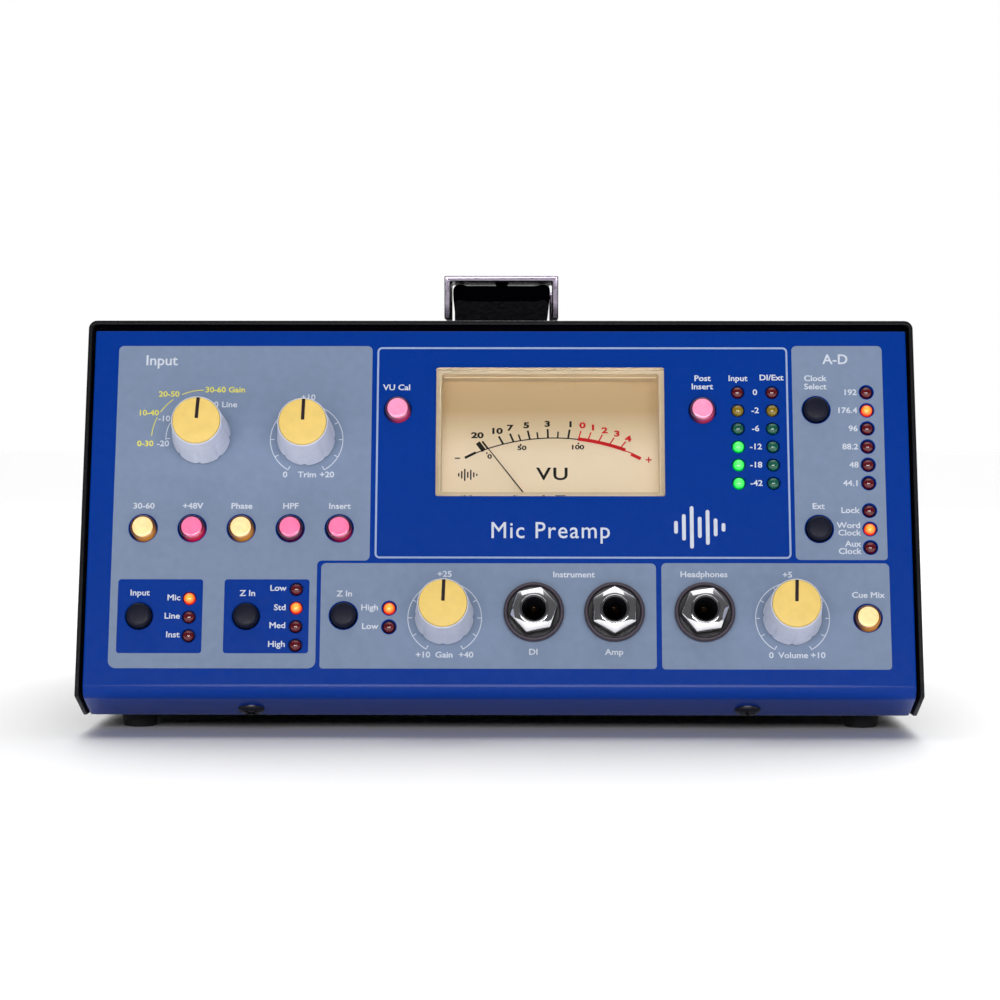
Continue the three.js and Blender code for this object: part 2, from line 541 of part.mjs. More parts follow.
export default preamp;
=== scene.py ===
"""Looks for a desktop microphone preamp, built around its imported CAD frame.

Every piece is made in millimetres in one of three local frames (the sloping panel, the rear face, the
case) and then placed in metres. Places come from the CAD nodes themselves."""
import json
import math

import bmesh
import bpy
from mathutils import Matrix, Vector


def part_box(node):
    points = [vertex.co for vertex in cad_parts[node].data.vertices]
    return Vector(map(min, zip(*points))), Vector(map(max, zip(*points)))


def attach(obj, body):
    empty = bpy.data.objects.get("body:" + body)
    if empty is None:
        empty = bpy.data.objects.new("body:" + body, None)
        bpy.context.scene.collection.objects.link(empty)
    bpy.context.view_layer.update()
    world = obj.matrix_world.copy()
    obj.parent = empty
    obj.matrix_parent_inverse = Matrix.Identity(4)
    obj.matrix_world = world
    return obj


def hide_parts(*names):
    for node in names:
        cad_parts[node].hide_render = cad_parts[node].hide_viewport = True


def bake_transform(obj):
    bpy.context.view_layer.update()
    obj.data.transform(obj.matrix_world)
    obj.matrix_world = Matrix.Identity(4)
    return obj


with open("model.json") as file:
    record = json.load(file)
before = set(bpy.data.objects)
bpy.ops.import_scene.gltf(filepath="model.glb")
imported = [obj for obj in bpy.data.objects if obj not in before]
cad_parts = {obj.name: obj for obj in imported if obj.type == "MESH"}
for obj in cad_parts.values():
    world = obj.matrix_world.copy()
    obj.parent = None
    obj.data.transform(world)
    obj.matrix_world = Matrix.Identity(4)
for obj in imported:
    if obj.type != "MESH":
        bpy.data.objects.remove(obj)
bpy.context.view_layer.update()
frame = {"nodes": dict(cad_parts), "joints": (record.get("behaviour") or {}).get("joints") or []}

# ---- local frames, in millimetres
MM = 0.001
JOINTS = {joint["name"]: joint for joint in frame["joints"]}
OUT = Vector(JOINTS["trim_turn"]["axis"]).normalized()
UP = OUT.cross(Vector((1, 0, 0)))
PANEL_TOP = 99.5  # the panel's upper edge, measured up the slope from its lip
TILT = math.asin(OUT.z)


def corners(node):
    return [v.co for v in frame["nodes"][node].data.vertices]


def axes(x, y, z, origin):
    """A local frame in millimetres as a matrix into the row frame."""
    columns = [Vector(x) * MM, Vector(y) * MM, Vector(z) * MM, Vector(origin)]
    return Matrix([[c[i] for c in columns] for i in range(3)] + [[0, 0, 0, 1]])


panel_face = max(v.dot(OUT) for v in corners("front_panel"))
panel_high = max(v.dot(UP) for v in corners("front_panel"))
PANEL = axes((1, 0, 0), UP, OUT, UP * (panel_high - PANEL_TOP * MM) + OUT * panel_face)
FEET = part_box("case_cover")[0].z / MM
REAR = axes((-1, 0, 0), (0, 0, 1), (0, 1, 0), (0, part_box("rear_panel")[1].y, FEET * MM))
CASE = axes((1, 0, 0), (0, 1, 0), (0, 0, 1), (0, 0, FEET * MM))


def span(node, local):
    """Lowest and highest corner of a CAD node in a local frame."""
    back = local.inverted()
    points = [back @ v for v in corners(node)]
    return [[f(p[i] for p in points) for i in range(3)] for f in (min, max)]


def middle(node, local=PANEL):
    low, high = span(node, local)
    return (low[0] + high[0]) / 2, (low[1] + high[1]) / 2


# ---- colours and materials
def srgb(red, green, blue):
    """Screen colour, 0 to 255, as linear light."""
    def linear(v):
        v /= 255
        return v / 12.92 if v <= 0.04045 else ((v + 0.055) / 1.055) ** 2.4
    return (linear(red), linear(green), linear(blue), 1)


def shade(colour, factor):
    return tuple(min(1, c * factor) for c in colour[:3]) + (1,)


class Surface:
    """A procedural material: a Principled shader whose colour, roughness and bump come from noise."""

    def __init__(self, name, colour, roughness, metallic=0.0):
        self.material = bpy.data.materials.new(name)
        self.material.use_nodes = True
        self.tree = self.material.node_tree
        self.shader = self.tree.nodes["Principled BSDF"]
        self.set("Base Color", colour)
        self.set("Roughness", roughness)
        self.set("Metallic", metallic)
        self.place = self.add("ShaderNodeTexCoord").outputs["Object"]
        self.colour, self.roughness, self.normal = colour, roughness, None

    def add(self, kind, **values):
        node = self.tree.nodes.new(kind)
        for key, value in values.items():
            setattr(node, key, value)
        return node

    def link(self, a, b):
        self.tree.links.new(a, b)

    def set(self, socket, value):
        self.shader.inputs[socket].default_value = value

    def noise(self, size_mm, detail=2.0, stretch=(1, 1, 1)):
        mapping = self.add("ShaderNodeMapping")
        mapping.inputs["Scale"].default_value = stretch
        self.link(self.place, mapping.inputs["Vector"])
        noise = self.add("ShaderNodeTexNoise")
        noise.inputs["Scale"].default_value = 1 / (size_mm * MM)
        noise.inputs["Detail"].default_value = detail
        self.link(mapping.outputs["Vector"], noise.inputs["Vector"])
        return noise.outputs["Fac"]

    def ramp(self, value, stops):
        node = self.add("ShaderNodeValToRGB")
        ramp = node.color_ramp
        self.link(value, node.inputs["Fac"])
        while len(ramp.elements) < len(stops):
            ramp.elements.new(0.5)
        for element, (at, colour) in zip(ramp.elements, stops):
            element.position = at
            element.color = colour
        return node.outputs["Color"]

    def mottle(self, size_mm, amount, detail=3.0, stretch=(1, 1, 1)):
        """Colour varies by the share amount each way, in patches of size_mm."""
        value = self.noise(size_mm, detail, stretch)
        stops = [(0.3, shade(self.colour, 1 - amount)), (0.7, shade(self.colour, 1 + amount))]
        self.link(self.ramp(value, stops), self.shader.inputs["Base Color"])
        return self

    def patchy(self, size_mm, amount, stretch=(1, 1, 1)):
        """Roughness varies by amount each way, in patches of size_mm."""
        spread = self.add("ShaderNodeMapRange")
        spread.inputs["From Min"].default_value = 0.3
        spread.inputs["From Max"].default_value = 0.7
        spread.inputs["To Min"].default_value = max(0.02, self.roughness - amount)
        spread.inputs["To Max"].default_value = self.roughness + amount
        self.link(self.noise(size_mm, 3.0, stretch), spread.inputs["Value"])
        self.link(spread.outputs["Result"], self.shader.inputs["Roughness"])
        return self

    def bump(self, value, depth_mm, strength=1.0):
        bump = self.add("ShaderNodeBump")
        bump.inputs["Distance"].default_value = depth_mm * MM
        bump.inputs["Strength"].default_value = strength
        self.link(value, bump.inputs["Height"])
        if self.normal:
            self.link(self.normal, bump.inputs["Normal"])
        self.normal = bump.outputs["Normal"]
        self.link(self.normal, self.shader.inputs["Normal"])
        return self

    def grain(self, size_mm, depth_mm, strength=1.0, detail=2.0, stretch=(1, 1, 1)):
        return self.bump(self.noise(size_mm, detail, stretch), depth_mm, strength)

    def glow(self, colour, strength):
        self.set("Emission Color", colour)
        self.set("Emission Strength", strength)
        return self


def paint(name, colour, roughness=0.24):
    surface = Surface(name, colour, roughness).mottle(0.8, 0.05).patchy(2, 0.03)
    surface.grain(0.45, 0.014, 0.4).grain(0.16, 0.007, 0.4)
    surface.set("Specular IOR Level", 0.16)
    return surface


def textured_paint(name, colour):
    surface = Surface(name, colour, 0.5).mottle(1.2, 0.2).patchy(0.8, 0.1)
    surface.grain(0.9, 0.16, 0.7, 1.0).grain(0.3, 0.05, 0.6)
    surface.set("Specular IOR Level", 0.15)
    return surface


def ink(name, colour, roughness=0.5):
    surface = Surface(name, colour, roughness).mottle(2.5, 0.04).patchy(1.5, 0.05).grain(0.35, 0.03, 0.5)
    surface.set("Specular IOR Level", 0.2)
    return surface


def moulded(name, colour, roughness=0.4, grain_mm=0.25, subsurface=0.0, gloss=0.4):
    surface = Surface(name, colour, roughness).mottle(2.5, 0.04).patchy(1.5, 0.06)
    surface.set("Specular IOR Level", gloss)
    surface.grain(grain_mm, 0.012, 0.5)
    if subsurface:
        surface.set("Subsurface Weight", subsurface)
        surface.set("Subsurface Radius", (0.4 * MM, 0.35 * MM, 0.3 * MM))
    return surface


def metal(name, colour, roughness, stretch=(1, 1, 1)):
    surface = Surface(name, colour, roughness, 1.0).mottle(4, 0.04, stretch=stretch)
    surface.patchy(1.5, 0.04 if roughness < 0.2 else 0.08, stretch)
    return surface.grain(0.5, 0.006, 0.4, stretch=stretch)


def lens(name, colour):
    surface = Surface(name, colour, 0.12).mottle(1.5, 0.1).grain(0.6, 0.004, 0.4)
    surface.set("Coat Weight", 0.6)
    surface.set("Coat Roughness", 0.05)
    surface.set("Subsurface Weight", 0.3)
    surface.set("Subsurface Radius", (0.8 * MM, 0.4 * MM, 0.3 * MM))
    return surface


def centre_glow(surface, core, rim, core_strength, rim_strength):
    """Emission that falls from core, where the mesh's "spot" value is 0, to rim, where it is 1."""
    layer = surface.add("ShaderNodeAttribute", attribute_name="spot")
    colour = surface.ramp(layer.outputs["Fac"], [(0.0, core), (0.45, core), (1.0, rim)])
    surface.link(colour, surface.shader.inputs["Emission Color"])
    power = surface.add("ShaderNodeMapRange")
    power.inputs["To Min"].default_value = core_strength
    power.inputs["To Max"].default_value = rim_strength
    surface.link(layer.outputs["Fac"], power.inputs["Value"])
    surface.link(power.outputs["Result"], surface.shader.inputs["Emission Strength"])
    return surface


BLUE = srgb(0, 52, 143)
GREY = srgb(122, 138, 165)
LOOKS = {
    "blue": paint("blue_paint", BLUE),
    "black": textured_paint("black_paint", srgb(14, 14, 18)),
    "grey_ink": ink("grey_ink", GREY),
    "white_ink": ink("white_ink", srgb(205, 211, 224)),
    "yellow_ink": ink("yellow_ink", srgb(226, 218, 92)),
    "black_ink": ink("black_ink", srgb(26, 20, 18)),
    "red_ink": ink("red_ink", srgb(214, 24, 34)),
    "skirt": moulded("skirt_plastic", srgb(222, 226, 242), 0.38, subsurface=0.12),
    "yellow": moulded("yellow_plastic", srgb(236, 203, 114), 0.5, subsurface=0.08, gloss=0.3),
    "dark_plastic": moulded("dark_plastic", srgb(46, 44, 54), 0.36),
    "black_plastic": moulded("black_plastic", srgb(24, 23, 27), 0.34),
    "rubber": moulded("rubber", srgb(18, 18, 19), 0.75, 0.6),
    "nickel": metal("nickel", srgb(124, 117, 130), 0.2, (1, 6, 1)),
    "chrome": metal("chrome", srgb(232, 232, 236), 0.07),
    "steel": metal("steel", srgb(182, 184, 188), 0.3, (1, 1, 5)),
    "dark_screw": metal("dark_screw", srgb(60, 60, 66), 0.35),
    "gold": metal("gold", srgb(232, 196, 112), 0.18),
    "spring": metal("spring", srgb(120, 92, 66), 0.3),
}

LOOKS["pointer_ink"] = ink("pointer_ink", srgb(34, 18, 26))
LOOKS["line_ink"] = ink("line_ink", srgb(150, 168, 204))
LOOKS["washer"] = moulded("washer_plastic", srgb(66, 58, 68), 0.42, gloss=0.35)
LOOKS["dark_button"] = moulded("dark_button", srgb(22, 24, 40), 0.4, 0.3, gloss=0.14)
# painted light: the meter's lining glows faintly, as though lit by the meter's lamp, though it is no lamp
# itself
LOOKS["lining"] = ink("meter_lining", srgb(222, 204, 178), 0.5).glow(srgb(222, 200, 170), 0.05)
LOOKS["strap"] = moulded("strap_vinyl", srgb(3, 3, 8), 0.24, 0.8, gloss=0.02).grain(1.1, 0.08, 0.7, 3)
LOOKS["circuit"] = Surface("circuit_board", srgb(24, 92, 52), 0.4).mottle(5, 0.25).patchy(3, 0.1)
LOOKS["circuit"].grain(1.2, 0.04)
LOOKS["tape"] = Surface("transformer_tape", srgb(214, 150, 40), 0.3).mottle(6, 0.2).patchy(3, 0.1)
LOOKS["tape"].grain(2, 0.1)
LOOKS["sleeve"] = moulded("capacitor_sleeve", srgb(24, 34, 70), 0.3)
LOOKS["floor"] = Surface("floor", srgb(252, 252, 252), 0.6).mottle(60, 0.004)
for name, dark, glow, edge, face_colour, power in [
    ("amber", srgb(96, 56, 30), srgb(240, 160, 40), srgb(250, 206, 112), srgb(250, 216, 158), 0.32),
    ("pink", srgb(62, 22, 50), srgb(250, 24, 70), srgb(250, 84, 136), srgb(234, 120, 164), 0.3),
    ("pale_pink", srgb(84, 44, 74), srgb(240, 60, 104), srgb(246, 120, 164), srgb(240, 146, 184), 0.3),
]:
    LOOKS[f"{name}_rim"] = centre_glow(lens(f"{name}_rim", dark), glow, dark, 0.5, 0.05)
    LOOKS[f"{name}_face"] = centre_glow(lens(f"{name}_face", face_colour), face_colour, edge, power, power)
for name, colour in [("dim_red", srgb(96, 10, 22)), ("dim_yellow", srgb(140, 116, 20)),
                     ("dim_green", srgb(18, 92, 74))]:
    LOOKS[name] = lens(name, colour)
orange, red_rim, yellow_core = srgb(255, 70, 20), srgb(230, 20, 10), srgb(255, 190, 70)
LOOKS["orange"] = centre_glow(lens("lamp_orange", orange), yellow_core, red_rim, 1.1, 0.7)
green_core, green_rim = srgb(120, 255, 120), srgb(0, 200, 50)
LOOKS["lit_green"] = centre_glow(lens("lamp_green", srgb(0, 220, 80)), green_core, green_rim, 0.9, 0.6)


def clear_plastic():
    """Clear acrylic, faintly warm, with soft handling marks in its gloss."""
    surface = Surface("clear_acrylic", srgb(252, 250, 244), 0.03).patchy(6, 0.015).grain(14, 0.001, 0.2)
    surface.set("Transmission Weight", 1.0)
    surface.set("IOR", 1.15)
    return surface


LOOKS["pane"] = clear_plastic()


# ---- mesh helpers
def ring(x, y, radius, count=48, turn=0.0):
    return [(x + radius * math.cos(turn + 2 * math.pi * i / count),
             y + radius * math.sin(turn + 2 * math.pi * i / count)) for i in range(count)]


def rounded(x0, y0, x1, y1, radius, steps=8):
    """A rectangle with round corners: one radius, or four from the lower left anticlockwise."""
    radii = [radius] * 4 if isinstance(radius, (int, float)) else radius
    points = []
    places = [(x0, y0, 1, 1, 180), (x1, y0, -1, 1, 270), (x1, y1, -1, -1, 0), (x0, y1, 1, -1, 90)]
    for (x, y, sx, sy, start), r in zip(places, radii):
        for k in range(steps + 1):
            angle = math.radians(start + 90 * k / steps)
            points.append((x + sx * r + r * math.cos(angle), y + sy * r + r * math.sin(angle)))
    return points


def inset(box, gap, radius, steps=4):
    """The outline of a box of (low, high) corners, drawn in by gap, with round corners."""
    (x0, y0, *_), (x1, y1, *_) = box
    return rounded(x0 + gap, y0 + gap, x1 - gap, y1 - gap, radius, steps)


def from_bmesh(bm):
    mesh = bpy.data.meshes.new("mesh")
    bm.normal_update()
    bm.to_mesh(mesh)
    bm.free()
    return mesh


def plate(outline, holes, z0, z1, bevel=0.0):
    """A flat outline with holes, from z0 to z1, with both edges rounded by bevel."""
    data = bpy.data.curves.new("outline", "CURVE")
    data.dimensions = "2D"
    data.fill_mode = "BOTH"
    data.extrude = (z1 - z0) / 2 - bevel
    data.bevel_depth = bevel
    data.bevel_resolution = 2
    data.offset = -bevel
    for points in [outline, *holes]:
        spline = data.splines.new("POLY")
        spline.points.add(len(points) - 1)
        for point, (x, y) in zip(spline.points, points):
            point.co = (x, y, 0, 1)
        spline.use_cyclic_u = True
    carrier = bpy.data.objects.new("outline", data)
    bpy.context.scene.collection.objects.link(carrier)
    bpy.context.view_layer.update()
    found = carrier.evaluated_get(bpy.context.evaluated_depsgraph_get())
    mesh = bpy.data.meshes.new_from_object(found)
    bpy.data.objects.remove(carrier)
    bpy.data.curves.remove(data)
    bm = bmesh.new()
    bm.from_mesh(mesh)
    bpy.data.meshes.remove(mesh)
    bmesh.ops.remove_doubles(bm, verts=bm.verts, dist=1e-4)
    bmesh.ops.translate(bm, verts=bm.verts, vec=(0, 0, (z0 + z1) / 2))
    return from_bmesh(bm)


def turned(profile, count=48, x=0.0, y=0.0, shape=None):
    """A profile of (radius, z) pairs turned about z; shape(angle, radius, z) gives both anew."""
    bm = bmesh.new()
    rows = []
    for radius, z in profile:
        if radius == 0:
            rows.append([bm.verts.new((x, y, z))])
            continue
        row = []
        for i in range(count):
            angle = 2 * math.pi * i / count
            r, high = shape(angle, radius, z) if shape else (radius, z)
            row.append(bm.verts.new((x + r * math.cos(angle), y + r * math.sin(angle), high)))
        rows.append(row)
    for low, high in zip(rows, rows[1:]):
        for i in range(count):
            j = (i + 1) % count
            if len(low) == 1 and len(high) == 1:
                continue
            if len(low) == 1:
                bm.faces.new((low[0], high[j], high[i]))
            elif len(high) == 1:
                bm.faces.new((low[i], low[j], high[0]))
            else:
                bm.faces.new((low[i], low[j], high[j], high[i]))
    bmesh.ops.recalc_face_normals(bm, faces=bm.faces)
    return from_bmesh(bm)


def extruded(section, along0, along1, axis="y"):
    """A closed section drawn along an axis: along y from (x, z) pairs, along x from (y, z) pairs."""
    bm = bmesh.new()
    ends = []
    for at in (along0, along1):
        ends.append([bm.verts.new((p[0], at, p[1]) if axis == "y" else (at, p[0], p[1])) for p in section])
    count = len(section)
    for i in range(count):
        j = (i + 1) % count
        bm.faces.new((ends[0][i], ends[0][j], ends[1][j], ends[1][i]))
    bm.faces.new(ends[0])
    bm.faces.new(ends[1][::-1])
    bmesh.ops.recalc_face_normals(bm, faces=bm.faces)
    return from_bmesh(bm)


def moved(mesh, x=0.0, y=0.0, z=0.0, turn=0.0):
    """The same mesh turned about z and shifted."""
    mesh.transform(Matrix.Translation((x, y, z)) @ Matrix.Rotation(turn, 4, "Z"))
    return mesh


def merged(meshes):
    bm = bmesh.new()
    for mesh in meshes:
        bm.from_mesh(mesh)
        bpy.data.meshes.remove(mesh)
    return from_bmesh(bm)


def loose(mesh):
    """A scratch object that holds a mesh."""
    thing = bpy.data.objects.new("scratch", mesh)
    bpy.context.scene.collection.objects.link(thing)
    return thing


def modified(mesh, *steps):
    """The mesh after modifiers: each step is (kind, settings)."""
    thing = loose(mesh)
    for kind, settings in steps:
        modifier = thing.modifiers.new(kind, kind)
        for key, value in settings.items():
            setattr(modifier, key, value)
    bpy.context.view_layer.update()
    found = thing.evaluated_get(bpy.context.evaluated_depsgraph_get())
    result = bpy.data.meshes.new_from_object(found)
    bpy.data.objects.remove(thing)
    return result


def carved(mesh, *tools):
    """The mesh with the tool meshes cut out of it."""
    cutter = loose(merged(list(tools)))
    result = modified(mesh, ("BOOLEAN", {"object": cutter, "operation": "DIFFERENCE", "solver": "EXACT",
                                         "use_self": True}))
    bpy.data.objects.remove(cutter)
    return result


def bevelled(mesh, width, segments=3, angle=40):
    return modified(mesh, ("BEVEL", {"width": width, "segments": segments, "limit_method": "ANGLE",
                                     "angle_limit": math.radians(angle), "use_clamp_overlap": True}))


def smooth(mesh, angle=38):
    """Smooth shading, sharp beyond the angle, and flat on wide faces and all that lies in their planes."""
    bm = bmesh.new()
    bm.from_mesh(mesh)
    limit = math.radians(angle)
    for face in bm.faces:
        face.smooth = True
    wide = [face for face in bm.faces if face.calc_area() > MM * face.calc_perimeter()]
    while wide:
        face = wide.pop()
        face.smooth = False
        wide += [other for edge in face.edges for other in edge.link_faces
                 if other.smooth and other.normal.dot(face.normal) > 0.999999]
    for edge in bm.edges:
        edge.smooth = len(edge.link_faces) == 2 and edge.calc_face_angle(0) < limit
    bm.to_mesh(mesh)
    bm.free()
    return mesh


def piece(name, mesh, local, look, body="case", replaces=(), angle=38):
    mesh.transform(local)
    smooth(mesh, angle)
    thing = bpy.data.objects.new(name, mesh)
    bpy.context.scene.collection.objects.link(thing)
    mesh.materials.clear()
    mesh.materials.append(LOOKS[look].material)
    if body:
        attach(thing, body)
    if replaces:
        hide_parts(*replaces)
    return thing


def spot(thing, value):
    """Gives each vertex of a piece its "spot" value, from its place in the panel's frame."""
    layer = thing.data.attributes.new("spot", "FLOAT", "POINT")
    back = PANEL.inverted()
    for i, v in enumerate(thing.data.vertices):
        layer.data[i].value = value(back @ v.co)


def block(x0, y0, z0, x1, y1, z1):
    return plate([(x0, y0), (x1, y0), (x1, y1), (x0, y1)], [], z0, z1)


def dress(node, look, width_mm=0.0):
    """A CAD node that stays: it gets a finish and, if asked, rounded edges."""
    thing = frame["nodes"][node]
    thing.data.materials.clear()
    thing.data.materials.append(LOOKS[look].material)
    if width_mm:
        bevel = thing.modifiers.new("edges", "BEVEL")
        bevel.width = width_mm * MM
        bevel.segments = 2
        bevel.limit_method = "ANGLE"
        bevel.angle_limit = math.radians(40)


# ---- words
FLAT = 0.01  # half the thickness of flat lettering, before its strokes are widened


def from_text(text, size, bold=0.0, spacing=1.0, align="CENTER"):
    """Flat lettering, its strokes widened by bold on every side."""
    data = bpy.data.curves.new("word", "FONT")
    data.body = text
    data.size = size
    data.extrude = FLAT
    data.bevel_depth = bold
    data.bevel_resolution = 0
    data.space_character = spacing
    data.align_x = align
    data.resolution_u = 3
    carrier = bpy.data.objects.new("word", data)
    bpy.context.scene.collection.objects.link(carrier)
    bpy.context.view_layer.update()
    found = carrier.evaluated_get(bpy.context.evaluated_depsgraph_get())
    mesh = bpy.data.meshes.new_from_object(found)
    bpy.data.objects.remove(carrier)
    bpy.data.curves.remove(data)
    return mesh


CAPITAL = max(v.co.y for v in from_text("H", 1).vertices)  # capital height of the built-in face, for size 1
INK = 0.05  # printing stands this far off its surface


class Print:
    """Lettering and lines in one ink, gathered into one piece."""

    def __init__(self, level=0.0):
        self.level, self.meshes = level, []

    def words(self, text, x, y, height=1.5, align="CENTER", squeeze=1.12, bold=0.045, spacing=1.0):
        """Words whose capitals are height tall and centred on y."""
        mesh = from_text(text, height / CAPITAL, bold, spacing, align)
        squeezed = Matrix.Diagonal((squeeze, 1, INK / 2 / (FLAT + bold), 1))
        mesh.transform(Matrix.Translation((x, y - height / 2, self.level + INK / 2)) @ squeezed)
        self.meshes.append(mesh)

    def shape(self, outline, holes=()):
        self.meshes.append(plate(outline, holes, self.level, self.level + INK))

    def arc(self, x, y, radius, start, end, width, steps=40):
        """A band along an arc; angles in degrees, clockwise from straight up."""
        angles = [math.radians(start + (end - start) * i / steps) for i in range(steps + 1)]
        outer = [(x + (radius + width / 2) * math.sin(a), y + (radius + width / 2) * math.cos(a))
                 for a in angles]
        inner = [(x + (radius - width / 2) * math.sin(a), y + (radius - width / 2) * math.cos(a))
                 for a in angles]
        self.shape(outer + inner[::-1])

    def bar(self, x0, y0, x1, y1, width):
        """A straight line from one point to another."""
        along = Vector((x1 - x0, y1 - y0)).normalized()
        side = Vector((-along.y, along.x)) * (width / 2)
        self.shape([(x0 + side.x, y0 + side.y), (x0 - side.x, y0 - side.y),
                    (x1 - side.x, y1 - side.y), (x1 + side.x, y1 + side.y)])

    def wave(self, x, y, width, height):
        """A generic level mark: upright bars whose heights rise and fall."""
        shares = [0.3, 0.62, 1.0, 0.5, 0.82, 0.42, 0.2]
        pitch = width / (len(shares) - 0.5)
        for i, share in enumerate(shares):
            middle_x = x + (i - (len(shares) - 1) / 2) * pitch
            half = pitch * 0.24
            reach = height * share / 2
            self.shape(rounded(middle_x - half, y - reach, middle_x + half, y + reach, half * 0.98, 4))

    def finish(self, name, local, look, body="case"):
        return piece(name, merged(self.meshes), local, look, body, angle=30)


# ---- where things are
KNOBS = ["input_gain", "trim", "instrument_gain", "headphone_volume"]
LIT_BUTTONS = {
    "gain_range": "amber", "phantom_power": "pink", "phase": "amber", "high_pass": "pink", "insert": "pink",
    "meter_calibration": "pale_pink", "post_insert": "pale_pink", "cue_mix": "amber",
}
DARK_BUTTONS = ["input_select", "mic_impedance", "instrument_impedance", "clock_select", "external_clock"]
JACKS = ["instrument", "amplifier", "headphone"]
LAMP_GROUPS = [
    "input_select_lamps", "mic_impedance_lamps", "instrument_impedance_lamps", "level_lamps",
               "converter_lamps"]
SHEET = 2.0  # thickness of the panel's metal


def tops(node):
    """Middles of a node's round tops, from its highest vertices, left to right and then downwards."""
    back = PANEL.inverted()
    points = [back @ v for v in corners(node)]
    level = max(p.z for p in points)
    rest = [p for p in points if p.z > level - 0.02]
    middles = []
    while rest:
        group = [rest.pop()]
        for p in group:
            group += [q for q in rest if math.hypot(p.x - q.x, p.y - q.y) < 1.6]
            rest = [q for q in rest if math.hypot(p.x - q.x, p.y - q.y) >= 1.6]
        xs, ys = [p.x for p in group], [p.y for p in group]
        middles.append(((min(xs) + max(xs)) / 2, (min(ys) + max(ys)) / 2))
    return sorted(middles, key=lambda m: (round(m[0]), -m[1]))


knob_at = {name: middle(f"{name}_knob") for name in KNOBS}
button_at = {name: middle(f"{name}_button") for name in [*LIT_BUTTONS, *DARK_BUTTONS]}
jack_at = {name: middle(f"{name}_jack_washer") for name in JACKS}
lamp_at = {name: tops(name) for name in LAMP_GROUPS}
lamps = [at for name in LAMP_GROUPS for at in lamp_at[name]]
window = span("meter_window", PANEL)
button_span = span("gain_range_button", PANEL)
BUTTON_RADIUS = (button_span[1][0] - button_span[0][0]) / 2
BUTTON_HOLE = BUTTON_RADIUS + 0.3
LAMP_RADIUS = 1.5
LAMP_HOLE = 1.75
THREAD = 4.5  # radius of a jack's threaded bush

# ---- front panel
BACK_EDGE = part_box("case_cover")[1].y / MM
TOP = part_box("case_cover")[1].z / MM - FEET
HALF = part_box("case_cover")[1].x / MM
LIP_Y = PANEL.translation.y / MM
LIP_Z = PANEL.translation.z / MM - FEET
PANEL_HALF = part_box("front_panel")[1].x / MM
LIP_BACK = 17.0  # the lip's underside meets the level there, behind the lip


def bent(path, sheet, radius, steps=10):
    """Outline of a sheet whose outer face follows a path that bends to its left."""
    points = [Vector(p) for p in path]
    outer, inner = [], []
    for i, p in enumerate(points):
        before = (p - points[i - 1]).normalized() if i else None
        after = (points[i + 1] - p).normalized() if i < len(points) - 1 else None
        if before is None or after is None:
            way = before or after
            outer.append(p)
            inner.append(p + Vector((-way.y, way.x)) * sheet)
            continue
        turn = before.angle(after)
        start = p - before * radius * math.tan(turn / 2)
        centre = start + Vector((-before.y, before.x)) * radius
        for k in range(steps + 1):
            arm = (start - centre).copy()
            arm.rotate(Matrix.Rotation(turn * k / steps, 2))
            outer.append(centre + arm)
            inner.append(centre + arm * ((radius - sheet) / radius))
    return [(p.x, p.y) for p in outer + inner[::-1]]


def on_slope(s):
    return (LIP_Y + s * math.sin(TILT), LIP_Z + s * math.cos(TILT))


def hole(x, y, radius):
    """A tool that cuts a round hole with a broken edge through the panel."""
    chamfer, deep = 0.22, 4.0
    return turned([(0, -deep), (radius, -deep), (radius, -chamfer), (radius + chamfer, 0),
                   (radius + chamfer + 0.5, 0.5), (0, 0.5)], 32, x, y)


sheet_path = [on_slope(PANEL_TOP), (LIP_Y, LIP_Z), (LIP_Y + LIP_BACK, 0), (LIP_Y + LIP_BACK + 9, 0)]
panel_mesh = extruded(bent(sheet_path, SHEET, 3.4), -PANEL_HALF, PANEL_HALF, "x")
panel_mesh.transform(PANEL.inverted() @ CASE)
panel_mesh = bevelled(panel_mesh, 0.35, 3, 60)
round_holes = [
    *[(x, y, 3.6) for x, y in knob_at.values()],
    *[(x, y, BUTTON_HOLE) for x, y in button_at.values()],
    *[(x, y, THREAD + 0.3) for x, y in jack_at.values()],
    *[(x, y, LAMP_HOLE) for x, y in lamps],
]
window_hole = inset(window, -0.05, 0.5, 3)
panel_mesh = carved(panel_mesh, plate(window_hole, [], -4, 1), *[hole(*each) for each in round_holes])
piece("front_panel_sheet", panel_mesh, PANEL, "blue", replaces=["front_panel"], angle=30)

# Printed fields, with room left for the controls.
CORNER = 1.3  # radius of a printed field's corners


def field(outline, inner=()):
    """A printed field: its holes are the controls and insets that lie in it."""
    box = [f(p[i] for p in outline) for f in (min, max) for i in (0, 1)]
    clear = [ring(x, y, radius + 0.3, 32) for x, y, radius in round_holes
             if box[0] < x < box[2] and box[1] < y < box[3] and not any(inside(x, y, i) for i in inner)
             and inside(x, y, outline)]
    return plate(outline, [*clear, *inner], 0, INK - 0.01)


def inside(x, y, outline):
    """Whether a point lies in an outline."""
    found = False
    for (x0, y0), (x1, y1) in zip(outline, outline[1:] + outline[:1]):
        if (y0 > y) != (y1 > y) and x < x0 + (x1 - x0) * (y - y0) / (y1 - y0):
            found = not found
    return found


def corner_arc(x, y, radius, start, sweep=90, steps=6):
    return [(x + radius * math.cos(math.radians(start + sweep * k / steps)),
             y + radius * math.sin(math.radians(start + sweep * k / steps))) for k in range(steps + 1)]


